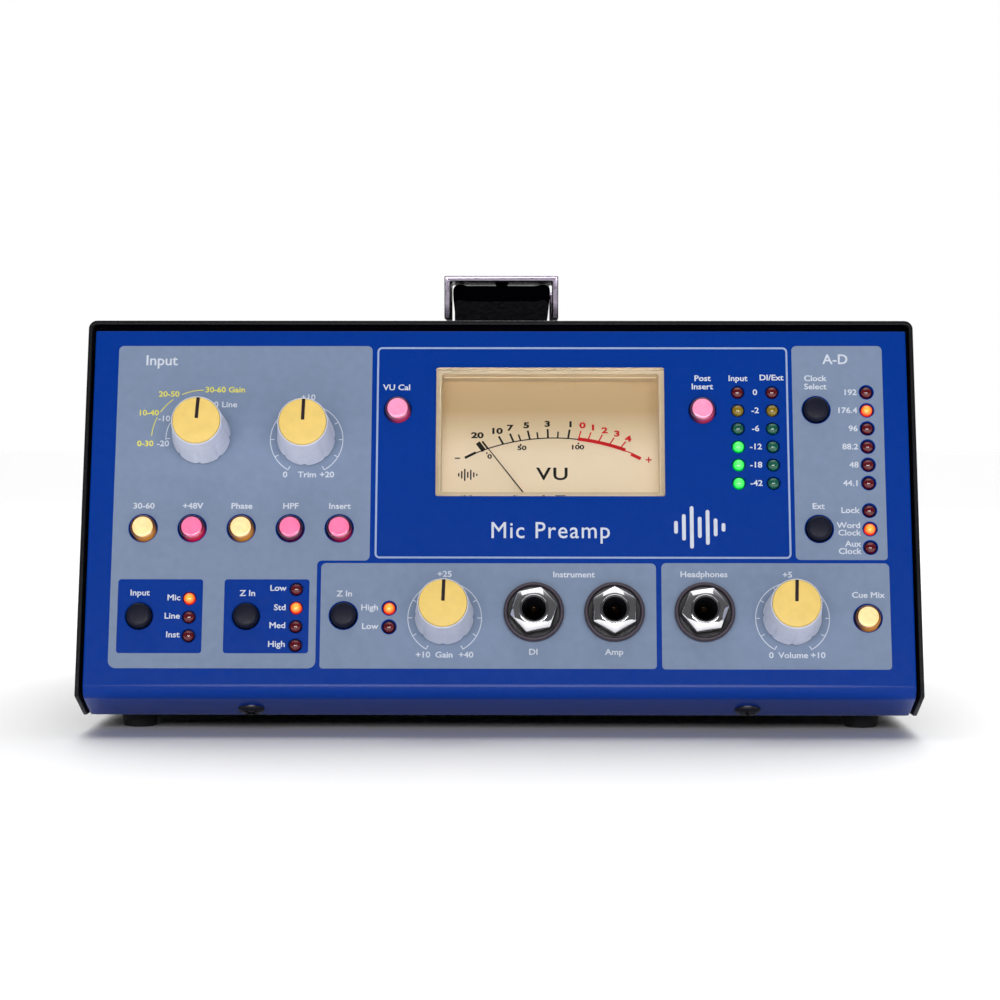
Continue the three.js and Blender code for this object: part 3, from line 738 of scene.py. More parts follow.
left, top, low, split = -101.6, 95.2, 7.3, 36.2  # edges of the input field
step_x, upper_x = -47.7, -34.0  # right edges of the input field's lower and upper parts
r = CORNER
input_field = [
    *corner_arc(left + 2, low + 2, 2, 180), *corner_arc(step_x - 2, low + 2, 2, 270),
    *corner_arc(step_x + r, split - r, r, 180, -90), *corner_arc(upper_x - r, split + r, r, 270),
    *corner_arc(upper_x - r, top - r, r, 0), *corner_arc(left + r, top - r, r, 90),
]
insets = [rounded(-99.6, 11.3, -77.4, 31.1, 0.8), rounded(-71.8, 11.3, -49.6, 31.1, 0.8)]
converter_field = rounded(77.5, 36.5, 101.5, 95.3, [r, 0.9, r, r])
instrument_field = rounded(-46.6, low, 40.9, 35.5, [0.8, 0.9, r, r])
headphone_field = rounded(42.3, 7.2, 101.8, 35.6, [0.9, 0.9, r, r])
fields = [field(input_field, insets), field(converter_field), field(instrument_field),
          field(headphone_field)]
piece("printed_fields", merged(fields), PANEL, "grey_ink", angle=30)

line = 0.5
meter_box = (-32.7, 36.8), (76.4, 94.9)
meter_line = Print()
meter_line.shape(inset(meter_box, 0, CORNER, 8), [inset(meter_box, line, CORNER - line, 8)])
meter_line.finish("printed_outline", PANEL, "line_ink")

# ---- lettering
white = Print(INK - 0.01)
bare = Print()
yellow = Print(INK - 0.01)
row = ["gain_range", "phantom_power", "phase", "high_pass", "insert"]
for name, text in zip(row, ["30-60", "+48V", "Phase", "HPF", "Insert"]):
    x, s = button_at[name]
    white.words(text, x, s + 6.1)
white.words("Input", -90.2, 91.2, 2.7, bold=0.06, squeeze=1.04)
white.words("A-D", 89.1, 91.6, 2.6, bold=0.06, squeeze=1.02)
for text, x, s in [("30-60 Gain", -73.0, 83.0), ("20-50", -87.9, 81.8), ("10-40", -93.2, 76.6),
                   ("0-30", -93.8, 68.1)]:
    yellow.words(text, x, s, 1.45)
for text, x, s in [("0", -75.3, 78.9), ("Line", -71.8, 78.9), ("-10", -89.0, 75.0), ("-20", -89.1, 68.1),
                   ("0", -56.6, 59.6), ("Trim", -50.8, 59.6), ("+20", -45.6, 59.6), ("+10", -50.9, 80.9),
                   ("Z In", -40.4, 27.3), ("+25", -14.3, 32.6), ("+10", -19.8, 11.0), ("Gain", -14.3, 11.0),
                   ("+40", -8.6, 11.0), ("Instrument", 19.4, 32.5), ("DI", 8.9, 11.8), ("Amp", 29.9, 11.8),
                   ("Headphones", 53.4, 32.6), ("+5", 75.2, 32.5), ("0", 70.6, 11.0), ("Volume", 76.3, 11.0),
                   ("+10", 82.7, 11.0), ("Cue Mix", 96.1, 27.1), ("Clock", 83.6, 86.3),
                   ("Select", 83.6, 84.0),
                   ("Ext", 83.7, 51.1)]:
    white.words(text, x, s)
for text, x, s in [("High", -31.5, 23.6), ("Low", -31.5, 18.6), ("192", 94.6, 82.4), ("176.4", 94.6, 77.4),
                   ("96", 94.6, 72.4), ("88.2", 94.6, 67.4), ("48", 94.6, 62.4), ("44.1", 94.6, 57.4),
                   ("Lock", 94.4, 50.0), ("Word", 94.6, 45.9), ("Clock", 94.6, 43.9), ("Aux", 94.6, 40.9),
                   ("Clock", 94.6, 38.9)]:
    white.words(text, x, s, align="RIGHT")
for text, x, s in [("Mic", -83.2, 26.2), ("Line", -83.2, 21.3), ("Inst", -83.2, 16.3), ("Low", -55.6, 28.8),
                   ("Std", -55.6, 23.6), ("Med", -55.6, 18.8), ("High", -55.6, 13.8)]:
    bare.words(text, x, s, align="RIGHT")
for text, x, s in [("Input", -93.9, 27.5), ("Z In", -65.7, 27.4), ("VU Cal", -27.4, 83.7),
                   ("Post", 53.7, 86.3),
                   ("Insert", 53.6, 84.0), ("Input", 63.1, 86.3), ("DI/Ext", 72.0, 86.5)]:
    bare.words(text, x, s)
level_rows = sorted({round(s, 1) for _, s in lamp_at["level_lamps"]}, reverse=True)
for text, s in zip(["0", "-2", "-6", "-12", "-18", "-42"], level_rows):
    bare.words(text, 67.6, s)
bare.words("Mic Preamp", 13.3, 44.5, 4.3, squeeze=0.94, bold=0.03, spacing=1.12)
bare.wave(52.5, 45.3, 13.5, 11.5)

# Scales round the knobs.
SCALE = {"radius": 9.6, "line": 0.22, "tick": 1.1, "right": 0.1, "below": 0.4}
for name in ["trim", "instrument_gain", "headphone_volume"]:
    x, s = knob_at[name][0] + SCALE["right"], knob_at[name][1] - SCALE["below"]
    white.arc(x, s, SCALE["radius"], -150, 150, SCALE["line"], 72)
    for degrees in range(-150, 151, 30):
        a = math.radians(degrees)
        inner, outer = SCALE["radius"] - SCALE["tick"], SCALE["radius"] + SCALE["line"] / 2
        white.bar(x + inner * math.sin(a), s + inner * math.cos(a), x + outer * math.sin(a),
                  s + outer * math.cos(a),
                  SCALE["line"])
x, s = knob_at["input_gain"][0] + SCALE["right"], knob_at["input_gain"][1] - SCALE["below"] - 0.15
for start, end in [(-87, -64), (-57, -36.5), (-25, 0.5)]:
    yellow.arc(x, s, 13.4, start, end, SCALE["line"], 16)
white.arc(x, s, SCALE["radius"], -92, -62, SCALE["line"], 16)
white.bar(x - SCALE["radius"], s, x - SCALE["radius"] + SCALE["tick"], s, SCALE["line"])
white.finish("printing_white_on_fields", PANEL, "white_ink")
bare.finish("printing_white", PANEL, "white_ink")
yellow.finish("printing_yellow", PANEL, "yellow_ink")

# ---- knobs
LOBES = 8
LEAN = {"input_gain": 3.7, "trim": 2, "instrument_gain": 2,
        "headphone_volume": 2}  # degrees clockwise at rest
for name in KNOBS:
    x, s = knob_at[name]
    skirt_low, skirt_high = span(f"{name}_knob", PANEL)
    cap_low, cap_high = span(f"{name}_knob_cap", PANEL)
    base = (skirt_high[0] - skirt_low[0]) / 2
    disc = (cap_high[0] - cap_low[0]) / 2
    rim, rim_top, cap_top, shaft_end = disc + 0.36, skirt_high[2], cap_high[2], skirt_low[2]
    lean = math.radians(LEAN[name])

    def lobed(angle, radius, z, top=rim_top):
        """Broad lobes round the skirt, with shallow notches between them that fade towards the rim."""
        share = max(0.0, min(1.0, (top - 1.6 - z) / (top - 1.6)))
        if radius < 5 or z < 0.5:
            return radius, z
        off = (angle + lean + math.pi / 2) * LOBES / (2 * math.pi)
        off = abs(off - round(off)) * 2 * math.pi / LOBES * radius
        return radius - 0.3 * math.exp(-(off / 0.55) ** 2) * share ** 0.6, z

    steps = 14
    side = [(base + (rim - base) * i / steps, 0.8 + (rim_top - 0.35 - 0.8) * i / steps)
            for i in range(steps + 1)]
    profile = [(0, shaft_end), (2.8, shaft_end), (3, shaft_end + 0.2), (3, 1.0), (base - 0.5, 0.8), *side,
               (rim - 0.03, rim_top - 0.16), (rim - 0.1, rim_top - 0.05), (rim - 0.17, rim_top - 0.01),
               (disc + 0.13, rim_top - 0.01), (disc + 0.1, rim_top - 0.08), (disc + 0.1, rim_top - 0.4),
               (disc + 0.1, cap_low[2]), (0, cap_low[2])]
    piece(f"{name}_skirt", turned(profile, 192, x, s, lobed), PANEL, "skirt", f"{name}_knob",
          [f"{name}_knob"], 30)
    cap = turned([(0, cap_low[2] + 0.3), (disc, cap_low[2] + 0.3), (disc, cap_top - 0.35),
                  (disc - 0.1, cap_top - 0.12),
                  (disc - 0.35, cap_top - 0.02), (disc * 0.5, cap_top), (0, cap_top)], 96, x, s)
    piece(f"{name}_cap", cap, PANEL, "yellow", f"{name}_knob", [f"{name}_knob_cap"])
    pointer = plate(rounded(-0.45, 0.5, 0.45, disc - 0.03, 0.1, 3), [], cap_top - 0.1, cap_top + 0.05, 0.02)
    piece(f"{name}_pointer", moved(pointer, x, s, 0, -lean), PANEL, "pointer_ink",
          f"{name}_knob")

# ---- push buttons
face_top = button_span[1][2]
stem_end = button_span[0][2]
FACE = 2.7
SIDE_GLOW = {  # how much of each lit button's light shows low on its side
    "gain_range": 1.0, "phantom_power": 1.0, "phase": 1.0, "high_pass": 0.2, "insert": 0.6,
    "meter_calibration": 0.8, "post_insert": 0.8, "cue_mix": 1.0,
}
for name in [*LIT_BUTTONS, *DARK_BUTTONS]:
    x, s = button_at[name]
    r = BUTTON_RADIUS
    body = [(0, stem_end), (1.5, stem_end), (1.6, stem_end + 0.1), (1.6, -4), (r, -4), (r, face_top - 0.95),
            (r - 0.07, face_top - 0.72), (r - 0.25, face_top - 0.5)]
    if name in DARK_BUTTONS:
        dome = [(r * 0.86, face_top - 0.26), (r * 0.78, face_top - 0.17), (r * 0.6, face_top - 0.09),
                (r * 0.3, face_top - 0.02), (0, face_top)]
        piece(f"{name}_cap", turned([*body, *dome], 64, x, s), PANEL, "dark_button",
              f"{name}_button", [f"{name}_button"], 50)
        continue
    colour = LIT_BUTTONS[name]
    shoulder = [(FACE + 0.16, face_top - 0.46), (FACE + 0.12, face_top - 0.7), (0, face_top - 0.7)]
    sleeve = piece(f"{name}_sleeve", turned([*body, *shoulder], 64, x, s), PANEL, f"{colour}_rim",
                   f"{name}_button", [f"{name}_button"], 50)
    share = SIDE_GLOW[name]
    spot(sleeve, lambda p: 1 - share * max(0.0, (0.5 * (p.x - x) - 0.86 * (p.y - s)) / r) ** 1.6)
    face = [(0, face_top - 0.65), (FACE, face_top - 0.65), (FACE, face_top - 0.3),
            (FACE - 0.06, face_top - 0.17),
            (FACE - 0.22, face_top - 0.08), (FACE * 0.8, face_top - 0.05), (FACE * 0.55, face_top - 0.02),
            (FACE * 0.3, face_top - 0.01), (0, face_top)]
    lit = piece(f"{name}_face", turned(face, 64, x, s), PANEL, f"{colour}_face",
                f"{name}_button", (), 50)
    spot(lit, lambda p: math.hypot(p.x - x + 0.4, p.y - s - 0.5) / (FACE + 0.5))

# ---- indicator lamps
LENS_TOP = 0.75
LIT = {
    "input_select_lamps": {0: "orange"},
    "mic_impedance_lamps": {1: "orange"},
    "instrument_impedance_lamps": {0: "orange"},
    "level_lamps": {3: "lit_green", 4: "lit_green", 5: "lit_green"},
    "converter_lamps": {1: "orange", 7: "orange"},
}
DIM = ["dim_red", "dim_yellow", "dim_green", "dim_green", "dim_green", "dim_green"]
domes = {}
for group in LAMP_GROUPS:
    for i, (x, s) in enumerate(lamp_at[group]):
        dim = DIM[i % 6] if group == "level_lamps" else "dim_red"
        look = LIT[group].get(i, dim)
        curve = [(LAMP_RADIUS * math.cos(math.radians(k)),
                  -0.35 + (LENS_TOP + 0.35) * math.sin(math.radians(k)))
                 for k in range(0, 90, 10)]
        profile = [(0, -2.2), (LAMP_RADIUS, -2.2), *curve, (0, LENS_TOP)]
        domes.setdefault(look, []).append(turned(profile, 40, x, s))
for look, meshes in domes.items():
    lens_piece = piece(f"lamps_{look}", merged(meshes), PANEL, look, angle=60)
    spot(lens_piece, lambda p: min(math.hypot(p.x - x, p.y - s) for x, s in lamps) / LAMP_RADIUS)
for group in LAMP_GROUPS:
    low_corner, high_corner = span(group, PANEL)
    columns = sorted({round(x, 1) for x, _ in lamp_at[group]})
    meshes = []
    for column in columns:
        rows_here = [s for x, s in lamp_at[group] if abs(x - column) < 0.5]
        runs = [[rows_here[0]]]
        for a, b in zip(rows_here, rows_here[1:]):
            if a - b < 6:
                runs[-1].append(b)
            else:
                runs.append([b])
        for run in runs:
            outline = rounded(column - 2.6, min(run) - 2.6, column + 2.6, max(run) + 2.6, 0.5, 3)
            meshes.append(plate(outline, [], low_corner[2], -2.6, 0.2))
            meshes += [turned([(0, -3), (1.44, -3), (1.44, -1.9), (0, -1.9)], 24, column, s) for s in run]
    piece(f"{group}_carrier", merged(meshes), PANEL, "black_plastic", replaces=[group])

# ---- jack sockets
BORE = 3.4


def jack_bush(mouth, back):
    """The threaded metal bush of a jack, with a rounded nose."""
    threads = []
    z = back
    while z < 3.6:
        threads += [(THREAD - 0.22, z), (THREAD, z + 0.2), (THREAD, z + 0.3)]
        z += 0.5
    return turned([(BORE, back), *threads, (THREAD, 3.9), (3.75, 4.05), (3.75, mouth - 0.14),
                   (3.71, mouth - 0.03),
                   (3.64, mouth), (3.57, mouth - 0.04), (3.55, mouth - 0.3), (BORE, mouth - 0.5),
                   (BORE, back)], 64)


def jack_inside(back, depth, mouth):
    """The black moulded body behind, with its bore, and the bore's lining."""
    outer = plate(rounded(-8, -8, 8, 10, 1.2, 4), [ring(0, 0, BORE, 48)], back - depth + 2, back, 0.3)
    floor = plate(rounded(-8, -8, 8, 10, 1.2, 4), [], back - depth, back - depth + 2, 0.3)
    lining = turned([(BORE - 0.02, back), (BORE - 0.02, mouth - 0.5), (3.53, mouth - 0.3),
                     (3.5, mouth - 0.2),
                     (3.15, mouth - 0.22), (3.08, mouth - 0.35), (3.08, back - depth + 2),
                     (BORE - 0.02, back - depth + 2), (BORE - 0.02, back)], 48)
    return merged([outer, floor, lining])


def jack_contact(back):
    """The tip contact: a thin leaf that leans into the bore and shows as a line across it."""
    leaf = [(2.9, back - 14), (3.05, back - 14), (0.2, back - 7.1), (2.9, back - 3), (2.75, back - 3),
            (0.1, back - 7.2)]
    return extruded(leaf, -1.5, 1.5, "x")


def jack_nut(turn):
    """A hexagon nut whose face is one shallow cone round its bore."""
    flat, lip, bottom, top_z, fall = 5.456, 3.84, 2.6, 5.0, 0.44

    def hexagon(angle, radius, z):
        if radius < flat - 0.5:
            return radius, z
        off = angle % (math.pi / 3) - math.pi / 6
        grown = min(radius / math.cos(off), 6.22)
        return grown, z - fall * (grown - radius) if z > 3.5 else z

    edge = top_z - fall * (flat - lip)
    profile = [(4.6, bottom), (flat - 0.15, bottom), (flat, bottom + 0.12), (flat, edge - 0.16),
               (flat - 0.03, edge - 0.07),
               (flat - 0.12, edge + 0.02), (flat - 0.25, edge + 0.11), (lip + 0.12, top_z - 0.05),
               (lip + 0.05, top_z - 0.04),
               (lip, top_z - 0.1), (lip, top_z - 0.6), (4.6, top_z - 0.9), (4.6, bottom)]
    return moved(turned(profile, 96, shape=hexagon), turn=turn)


washer_profile = [(6.7, 0.3), (7.5, 0.3), (7.8, 0.45), (7.9, 0.8), (7.88, 1.7), (7.7, 2.1), (7.4, 2.28),
                  (7.1, 2.22),
                  (6.93, 1.95), (6.7, 1.1), (6.7, 0.3)]
seat_profile = [(4.8, 0.3), (6.69, 0.3), (6.69, 1.1), (5.35, 1.0), (5.3, 2.5), (4.8, 2.5), (4.8, 0.3)]
for name, turn in zip(JACKS, [12, 30, 9]):
    x, s = jack_at[name]
    low_corner, high_corner = span(f"{name}_jack", PANEL)
    mouth, back = high_corner[2], -SHEET - 0.4
    piece(f"{name}_bush", moved(jack_bush(mouth, back), x, s), PANEL, "chrome",
          replaces=[f"{name}_jack"])
    piece(f"{name}_socket", moved(jack_inside(back, back - low_corner[2], mouth), x, s), PANEL,
          "black_plastic",
          replaces=[f"{name}_jack"])
    piece(f"{name}_contact", moved(jack_contact(back), x, s), PANEL, "spring")
    piece(f"{name}_washer", turned(washer_profile, 72, x, s), PANEL, "washer",
          replaces=[f"{name}_jack_washer"], angle=50)
    piece(f"{name}_seat", turned(seat_profile, 72, x, s), PANEL, "black_plastic", angle=50)
    piece(f"{name}_nut", moved(jack_nut(math.radians(turn)), x, s), PANEL, "chrome",
          replaces=[f"{name}_jack_nut"], angle=20)

# ---- level meter
housing, dial = span("meter_housing", PANEL), span("meter_dial", PANEL)
DIAL = dial[1][2]
WALL = 1.6
front = -SHEET - 0.3
pivot = PANEL.inverted() @ Vector(JOINTS["needle_swing"]["pos_m"])
frame_in = (window[0][0] + 1.3, window[0][1] + 1.6, window[1][0] - 1.3, window[1][1] - 1.0)
housing_back = housing[0][2]
shell = plate(inset(housing, 0, 1.5), [inset(housing, WALL, 1.0)], housing_back + 12, front, 0.25)
back_box = plate(inset(housing, 0, 1.5), [], housing_back, housing_back + 12.05, 0.4)
piece("meter_case", merged([shell, back_box]), PANEL, "black_plastic",
      replaces=["meter_housing"])


def card_painted_light_look(low_z, high_z):
    """The dial's card, lit from behind, in painted light: its glow stands in for the meter's lamp and lifts
    the shade inside the meter box, and its colour darkens to gold at the top as painted shade under the
    lining's overhang, cream lower down.
    """
    surface = ink("meter_card", srgb(236, 218, 190), 0.6)
    parts = surface.add("ShaderNodeSeparateXYZ")
    surface.link(surface.place, parts.inputs["Vector"])
    height = surface.add("ShaderNodeMapRange")
    height.inputs["From Min"].default_value = low_z
    height.inputs["From Max"].default_value = high_z
    surface.link(parts.outputs["Z"], height.inputs["Value"])
    # painted shade: the ramp darkens to gold towards the top, where the lining's overhang shades the card
    colour = surface.ramp(height.outputs["Result"], [
        (0.0, srgb(240, 226, 204)), (0.4, srgb(233, 217, 196)), (0.58, srgb(214, 196, 168)),
        (0.74, srgb(192, 168, 133)), (1.0, srgb(196, 172, 138))])
    surface.link(colour, surface.shader.inputs["Base Color"])
    # painted light: the glow follows the same ramp, brighter low down and dimmer at the shaded top
    surface.link(colour, surface.shader.inputs["Emission Color"])
    surface.set("Emission Strength", 0.12)
    return surface


card_z = [(PANEL @ Vector((0, window[i][1], DIAL))).z for i in (0, 1)]
LOOKS["card"] = card_painted_light_look(*card_z)
card = plate(inset(dial, 0, 0.8), [ring(pivot.x, pivot.y, 1.6, 32)], dial[0][2], DIAL, 0.05)
piece("meter_card", card, PANEL, "card", replaces=["meter_dial"])

# A pale frame lines the opening between the window and the card, ribbed along its upper wall.
lining = plate(inset(dial, 0, 0.8), [rounded(*frame_in, 0.6, 4)], DIAL + 0.02, front - 0.02, 0.1)
ribs = []
rib_count = 72
for i in range(rib_count):
    x = frame_in[0] + 1 + (frame_in[2] - frame_in[0] - 2) * (i + 0.5) / rib_count
    ribs.append(block(x - 0.2, frame_in[3] - 0.18, DIAL + 1.2, x + 0.2, frame_in[3] + 0.02, DIAL + 3.4))
shelf = block(frame_in[0] + 0.6, frame_in[3] - 0.35, DIAL + 3.9, frame_in[2] - 0.6, frame_in[3] + 0.02,
              DIAL + 4.3)
piece("meter_lining", merged([lining, shelf, *ribs]), PANEL, "lining")

pane = plate(inset(window, 0, 0.45, 3), [], window[0][2], window[1][2], 0.22)
piece("meter_pane", pane, PANEL, "pane",
      replaces=["meter_window"], angle=30)

RADIUS = 54.0  # of the printed scale
scale_x, scale_s = 14.4, 72.25 - RADIUS
black = Print(DIAL)
red = Print(DIAL)


def on_scale(x, s):
    """Where the line from the needle's pivot to a number crosses the arc: x, s and the line's direction."""
    way = Vector((x - pivot.x, s - pivot.y)).normalized()
    offset = Vector((pivot.x - scale_x, pivot.y - scale_s))
    along = way.dot(offset)
    reach = -along + math.sqrt(along ** 2 - offset.length_squared + RADIUS ** 2)
    return pivot.x + way.x * reach, pivot.y + way.y * reach, way


def scale_angle(x):
    return math.degrees(math.asin((x - scale_x) / RADIUS))


MARKS = {"20": (-6.1, 73.0), "10": (-1.0, 74.2), "7": (2.6, 75.1), "5": (7.0, 75.8), "3": (12.6, 76.2),
         "1": (18.8, 76.1)}
TICK_SHIFT = {"7": 0.7, "10": 0.2}
OVER = {"0": (22.0, 75.8), "1": (24.8, 75.2), "2": (27.9, 74.4), "3": (31.2, 73.5), "4": (34.2, 72.1)}
for inks, marks in ((black, MARKS), (red, OVER)):
    for text, (x, s) in marks.items():
        inks.words(text, x, s, 1.5, bold=0.09, squeeze=1.5)
        px, ps, way = on_scale(x - TICK_SHIFT.get(text, 0.0), s)
        inks.bar(px, ps, px + way.x * 2.5, ps + way.y * 2.5, 0.52 if inks is black else 0.36)
for x, s in [(4.1, 75.5), (9.5, 76.1), (15.6, 76.3)]:
    px, ps, way = on_scale(x, s)
    black.bar(px, ps, px + way.x * 1.8, ps + way.y * 1.8, 0.42)
for text, x, s in [("0", -2.8, 67.1), ("50", 5.8, 69.5), ("100", 20.6, 69.7)]:
    black.words(text, x, s, 1.15, bold=0.06, squeeze=1.45)
    px, ps, way = on_scale(x, s)
    black.shape(ring(px - way.x * 1.15, ps - way.y * 1.15, 0.24, 12))
black.arc(scale_x, scale_s, RADIUS, scale_angle(-9.0), scale_angle(20.8), 0.3, 40)
red.arc(scale_x, scale_s, RADIUS + 0.1, scale_angle(20.8), scale_angle(33.4), 0.95, 24)
red.arc(scale_x, scale_s, RADIUS - 0.1, scale_angle(33.4), scale_angle(35.2), 0.3, 8)
black.bar(-9.4, 66.7, -6.5, 68.2, 0.68)
red.bar(34.9, 67.8, 37.5, 66.5, 0.9)
black.bar(-4.3, 68.66, -6.0, 70.95, 1.25)
black.bar(-3.3, 69.25, -4.6, 71.3, 0.24)
black.bar(-12.1, 66.6, -10.7, 66.6, 0.32)
red.bar(38.8, 66.2, 40.4, 66.2, 0.34)
red.bar(39.6, 65.4, 39.6, 67.0, 0.34)
black.words("VU", 14.0, 62.3, 3.3, squeeze=1.27, bold=0.08, spacing=1.15)
black.wave(-8.6, 62.0, 5.2, 3.4)
black.finish("dial_print_black", PANEL, "black_ink")
red.finish("dial_print_red", PANEL, "red_ink")

needle_back = span("meter_needle", PANEL)[0][2]
NEEDLE = {"length": 30.2, "tail": 3.4, "level": DIAL + 1.4}
rest_turn = math.radians(37.6)
pointer = plate([(-0.2, 0), (0.2, 0), (0.1, NEEDLE["length"]), (-0.1, NEEDLE["length"])], [],
                NEEDLE["level"],
                NEEDLE["level"] + 0.25)
hub = turned([(0, NEEDLE["level"] - 0.5), (2.4, NEEDLE["level"] - 0.5), (2.6, NEEDLE["level"] - 0.3),
              (2.6, NEEDLE["level"] + 1.3), (2.3, NEEDLE["level"] + 1.6), (0, NEEDLE["level"] + 1.6)], 40)
tail = plate(rounded(-0.7, -NEEDLE["tail"], 0.7, 0.5, 0.3, 3), [], NEEDLE["level"], NEEDLE["level"] + 0.6)
axle = turned([(0, needle_back), (1, needle_back), (1, NEEDLE["level"]), (0, NEEDLE["level"])], 24)
needle = moved(merged([pointer, hub, tail, axle]), pivot.x, pivot.y, 0, rest_turn)
piece("meter_pointer", needle, PANEL, "black_ink", "meter_needle", ["meter_needle"])

# ---- cover
COVER_SHEET = 1.1
EDGE_RADIUS = 2.2


def front_edge(z):
    """How far back the cover starts, at a height."""
    if z >= LIP_Z:
        return LIP_Y + (z - LIP_Z) * math.tan(TILT)
    return LIP_Y + LIP_BACK * (1 - z / LIP_Z)


def cover_mesh():
    def arch(edge, high, radius):
        points = [(edge, 0.0), (edge, LIP_Z), (edge, 40.0)]
        points += [(edge - radius + radius * math.cos(math.radians(a)),
                    high - radius + radius * math.sin(math.radians(a)))
                   for a in range(0, 91, 10)]
        return points + [(-x, z) for x, z in reversed(points)]
    outer = arch(HALF, TOP, EDGE_RADIUS)
    inner = arch(HALF - COVER_SHEET, TOP - COVER_SHEET, EDGE_RADIUS - COVER_SHEET)
    bm = bmesh.new()
    rings = []
    for section in (outer, inner):
        for back in (False, True):
            rings.append([bm.verts.new((x, BACK_EDGE if back else front_edge(z), z)) for x, z in section])
    outer_front, outer_back, inner_front, inner_back = rings
    count = len(outer)
    for i in range(count - 1):
        bm.faces.new((outer_front[i], outer_front[i + 1], outer_back[i + 1], outer_back[i]))
        bm.faces.new((inner_front[i], inner_back[i], inner_back[i + 1], inner_front[i + 1]))
        bm.faces.new((outer_front[i], inner_front[i], inner_front[i + 1], outer_front[i + 1]))
        bm.faces.new((outer_back[i], outer_back[i + 1], inner_back[i + 1], inner_back[i]))
    for i in (0, count - 1):
        bm.faces.new((outer_front[i], outer_back[i], inner_back[i], inner_front[i]))
    bmesh.ops.recalc_face_normals(bm, faces=bm.faces)
    return from_bmesh(bm)


SLOTS = {"count": 8, "first": 150.0, "pitch": 9.0, "half": 1.5, "low": 40.0, "high": 78.0}
slot_tools = []
for i in range(SLOTS["count"]):
    y = LIP_Y + SLOTS["first"] + i * SLOTS["pitch"]
    capsule = rounded(y - SLOTS["half"], SLOTS["low"], y + SLOTS["half"], SLOTS["high"],
                      SLOTS["half"] * 0.999, 8)
    slot_tools.append(extruded(capsule, -HALF - 5, HALF + 5, "x"))
cover = carved(bevelled(cover_mesh(), 0.28, 2, 50), *slot_tools)
piece("cover_shell", cover, CASE, "black", replaces=["case_cover"], angle=30)

# A near-black strip closes the gap between the panel's upper edge and the cover: painted shade, standing in
# for the deep shadow of that recess and keeping light from showing through the gap.
gap_shade_top = TOP - COVER_SHEET - 0.03
gap_shade_front = [front_edge(z) + SHEET / math.cos(TILT) + 0.03 for z in (gap_shade_top - 6, gap_shade_top)]
gap_shade_section = [(gap_shade_front[0], gap_shade_top - 6), (gap_shade_front[0] + 4, gap_shade_top - 6), (gap_shade_front[1] + 4, gap_shade_top),
        (gap_shade_front[1], gap_shade_top)]
piece("panel_gap_shade_strip", bevelled(extruded(gap_shade_section, 1 - PANEL_HALF, PANEL_HALF - 1, "x"), 0.3, 2, 50), CASE,
      "strap")


def screw(radius, head, look_turn=0.0, kind="pan"):
    """A screw head with a cross recess, standing on z = 0."""
    dome = [(0, -1.5), (radius * 0.5, -1.5), (radius * 0.5, 0), (radius, 0), (radius, head * 0.25),
            (radius * 0.86, head * 0.7), (radius * 0.55, head * 0.95), (0, head)]
    if kind == "flush":
        dome = [(0, -1.5), (radius * 0.5, -1.5), (radius * 0.6, -0.8), (radius, -0.1), (radius, head * 0.6),
                (radius * 0.9, head), (0, head)]
    body = turned(dome, 32)
    arm, half = radius * 0.58, radius * 0.13
    cross = [block(-arm, -half, head - 0.9, arm, half, head + 1),
             block(-half, -arm, head - 0.9, half, arm, head + 1)]
    return moved(carved(body, *cross), turn=look_turn)


side_screws = []
for side in (-1, 1):
    for i, y in enumerate((40, 120, 205)):
        head = screw(2.9, 1.0, 0.4 + i, "flush")
        head.transform(Matrix.Translation((side * HALF, LIP_Y + y,
                                           9.5)) @ Matrix.Rotation(side * math.pi / 2, 4, "Y"))
        side_screws.append(head)
piece("cover_screws", merged(side_screws), CASE, "dark_screw", angle=40)

lip_screws = []
lean_lip = math.atan2(LIP_Z, LIP_BACK)
for i, x in enumerate((-65, 65)):
    head = screw(3.4, 1.3, 0.7 + i)
    way = Matrix.Rotation(math.pi - lean_lip, 4, "X")
    head.transform(Matrix.Translation((x, LIP_Y + 11.2, LIP_Z * (1 - 11.2 / LIP_BACK))) @ way)
    lip_screws.append(head)
piece("lip_screws", merged(lip_screws), CASE, "dark_screw", angle=40)

# ---- tray, rear panel and feet
dress("chassis_tray", "black", 0.3)
dress("rear_panel", "black", 0.25)
for end in ("front", "rear"):
    for side in ("left", "right"):
        node = f"foot_{end}_{side}"
        low_corner, high_corner = span(node, CASE)
        x, y = middle(node, CASE)
        wide = (high_corner[0] - low_corner[0]) / 2
        profile = [(0, -2.7), (1.6, -2.7), (1.7, -FEET + 0.1), (1.9, -FEET), (wide - 1.2, -FEET),
                   (wide - 0.75, -FEET + 0.2),
                   (wide - 0.6, -FEET + 0.6), (wide - 0.1, -0.9), (wide, -0.6), (wide, 0), (2.6, 0),
                   (2.6, high_corner[2]),
                   (0, high_corner[2])]
        piece(f"{node}_pad", turned(profile, 56, x, y), CASE, "rubber", replaces=[node])
        head = screw(1.5, 0.6, 0.5)
        head.transform(Matrix.Translation((x, y, -2.7)) @ Matrix.Rotation(math.pi, 4, "X"))
        piece(f"{node}_screw", head, CASE, "steel")

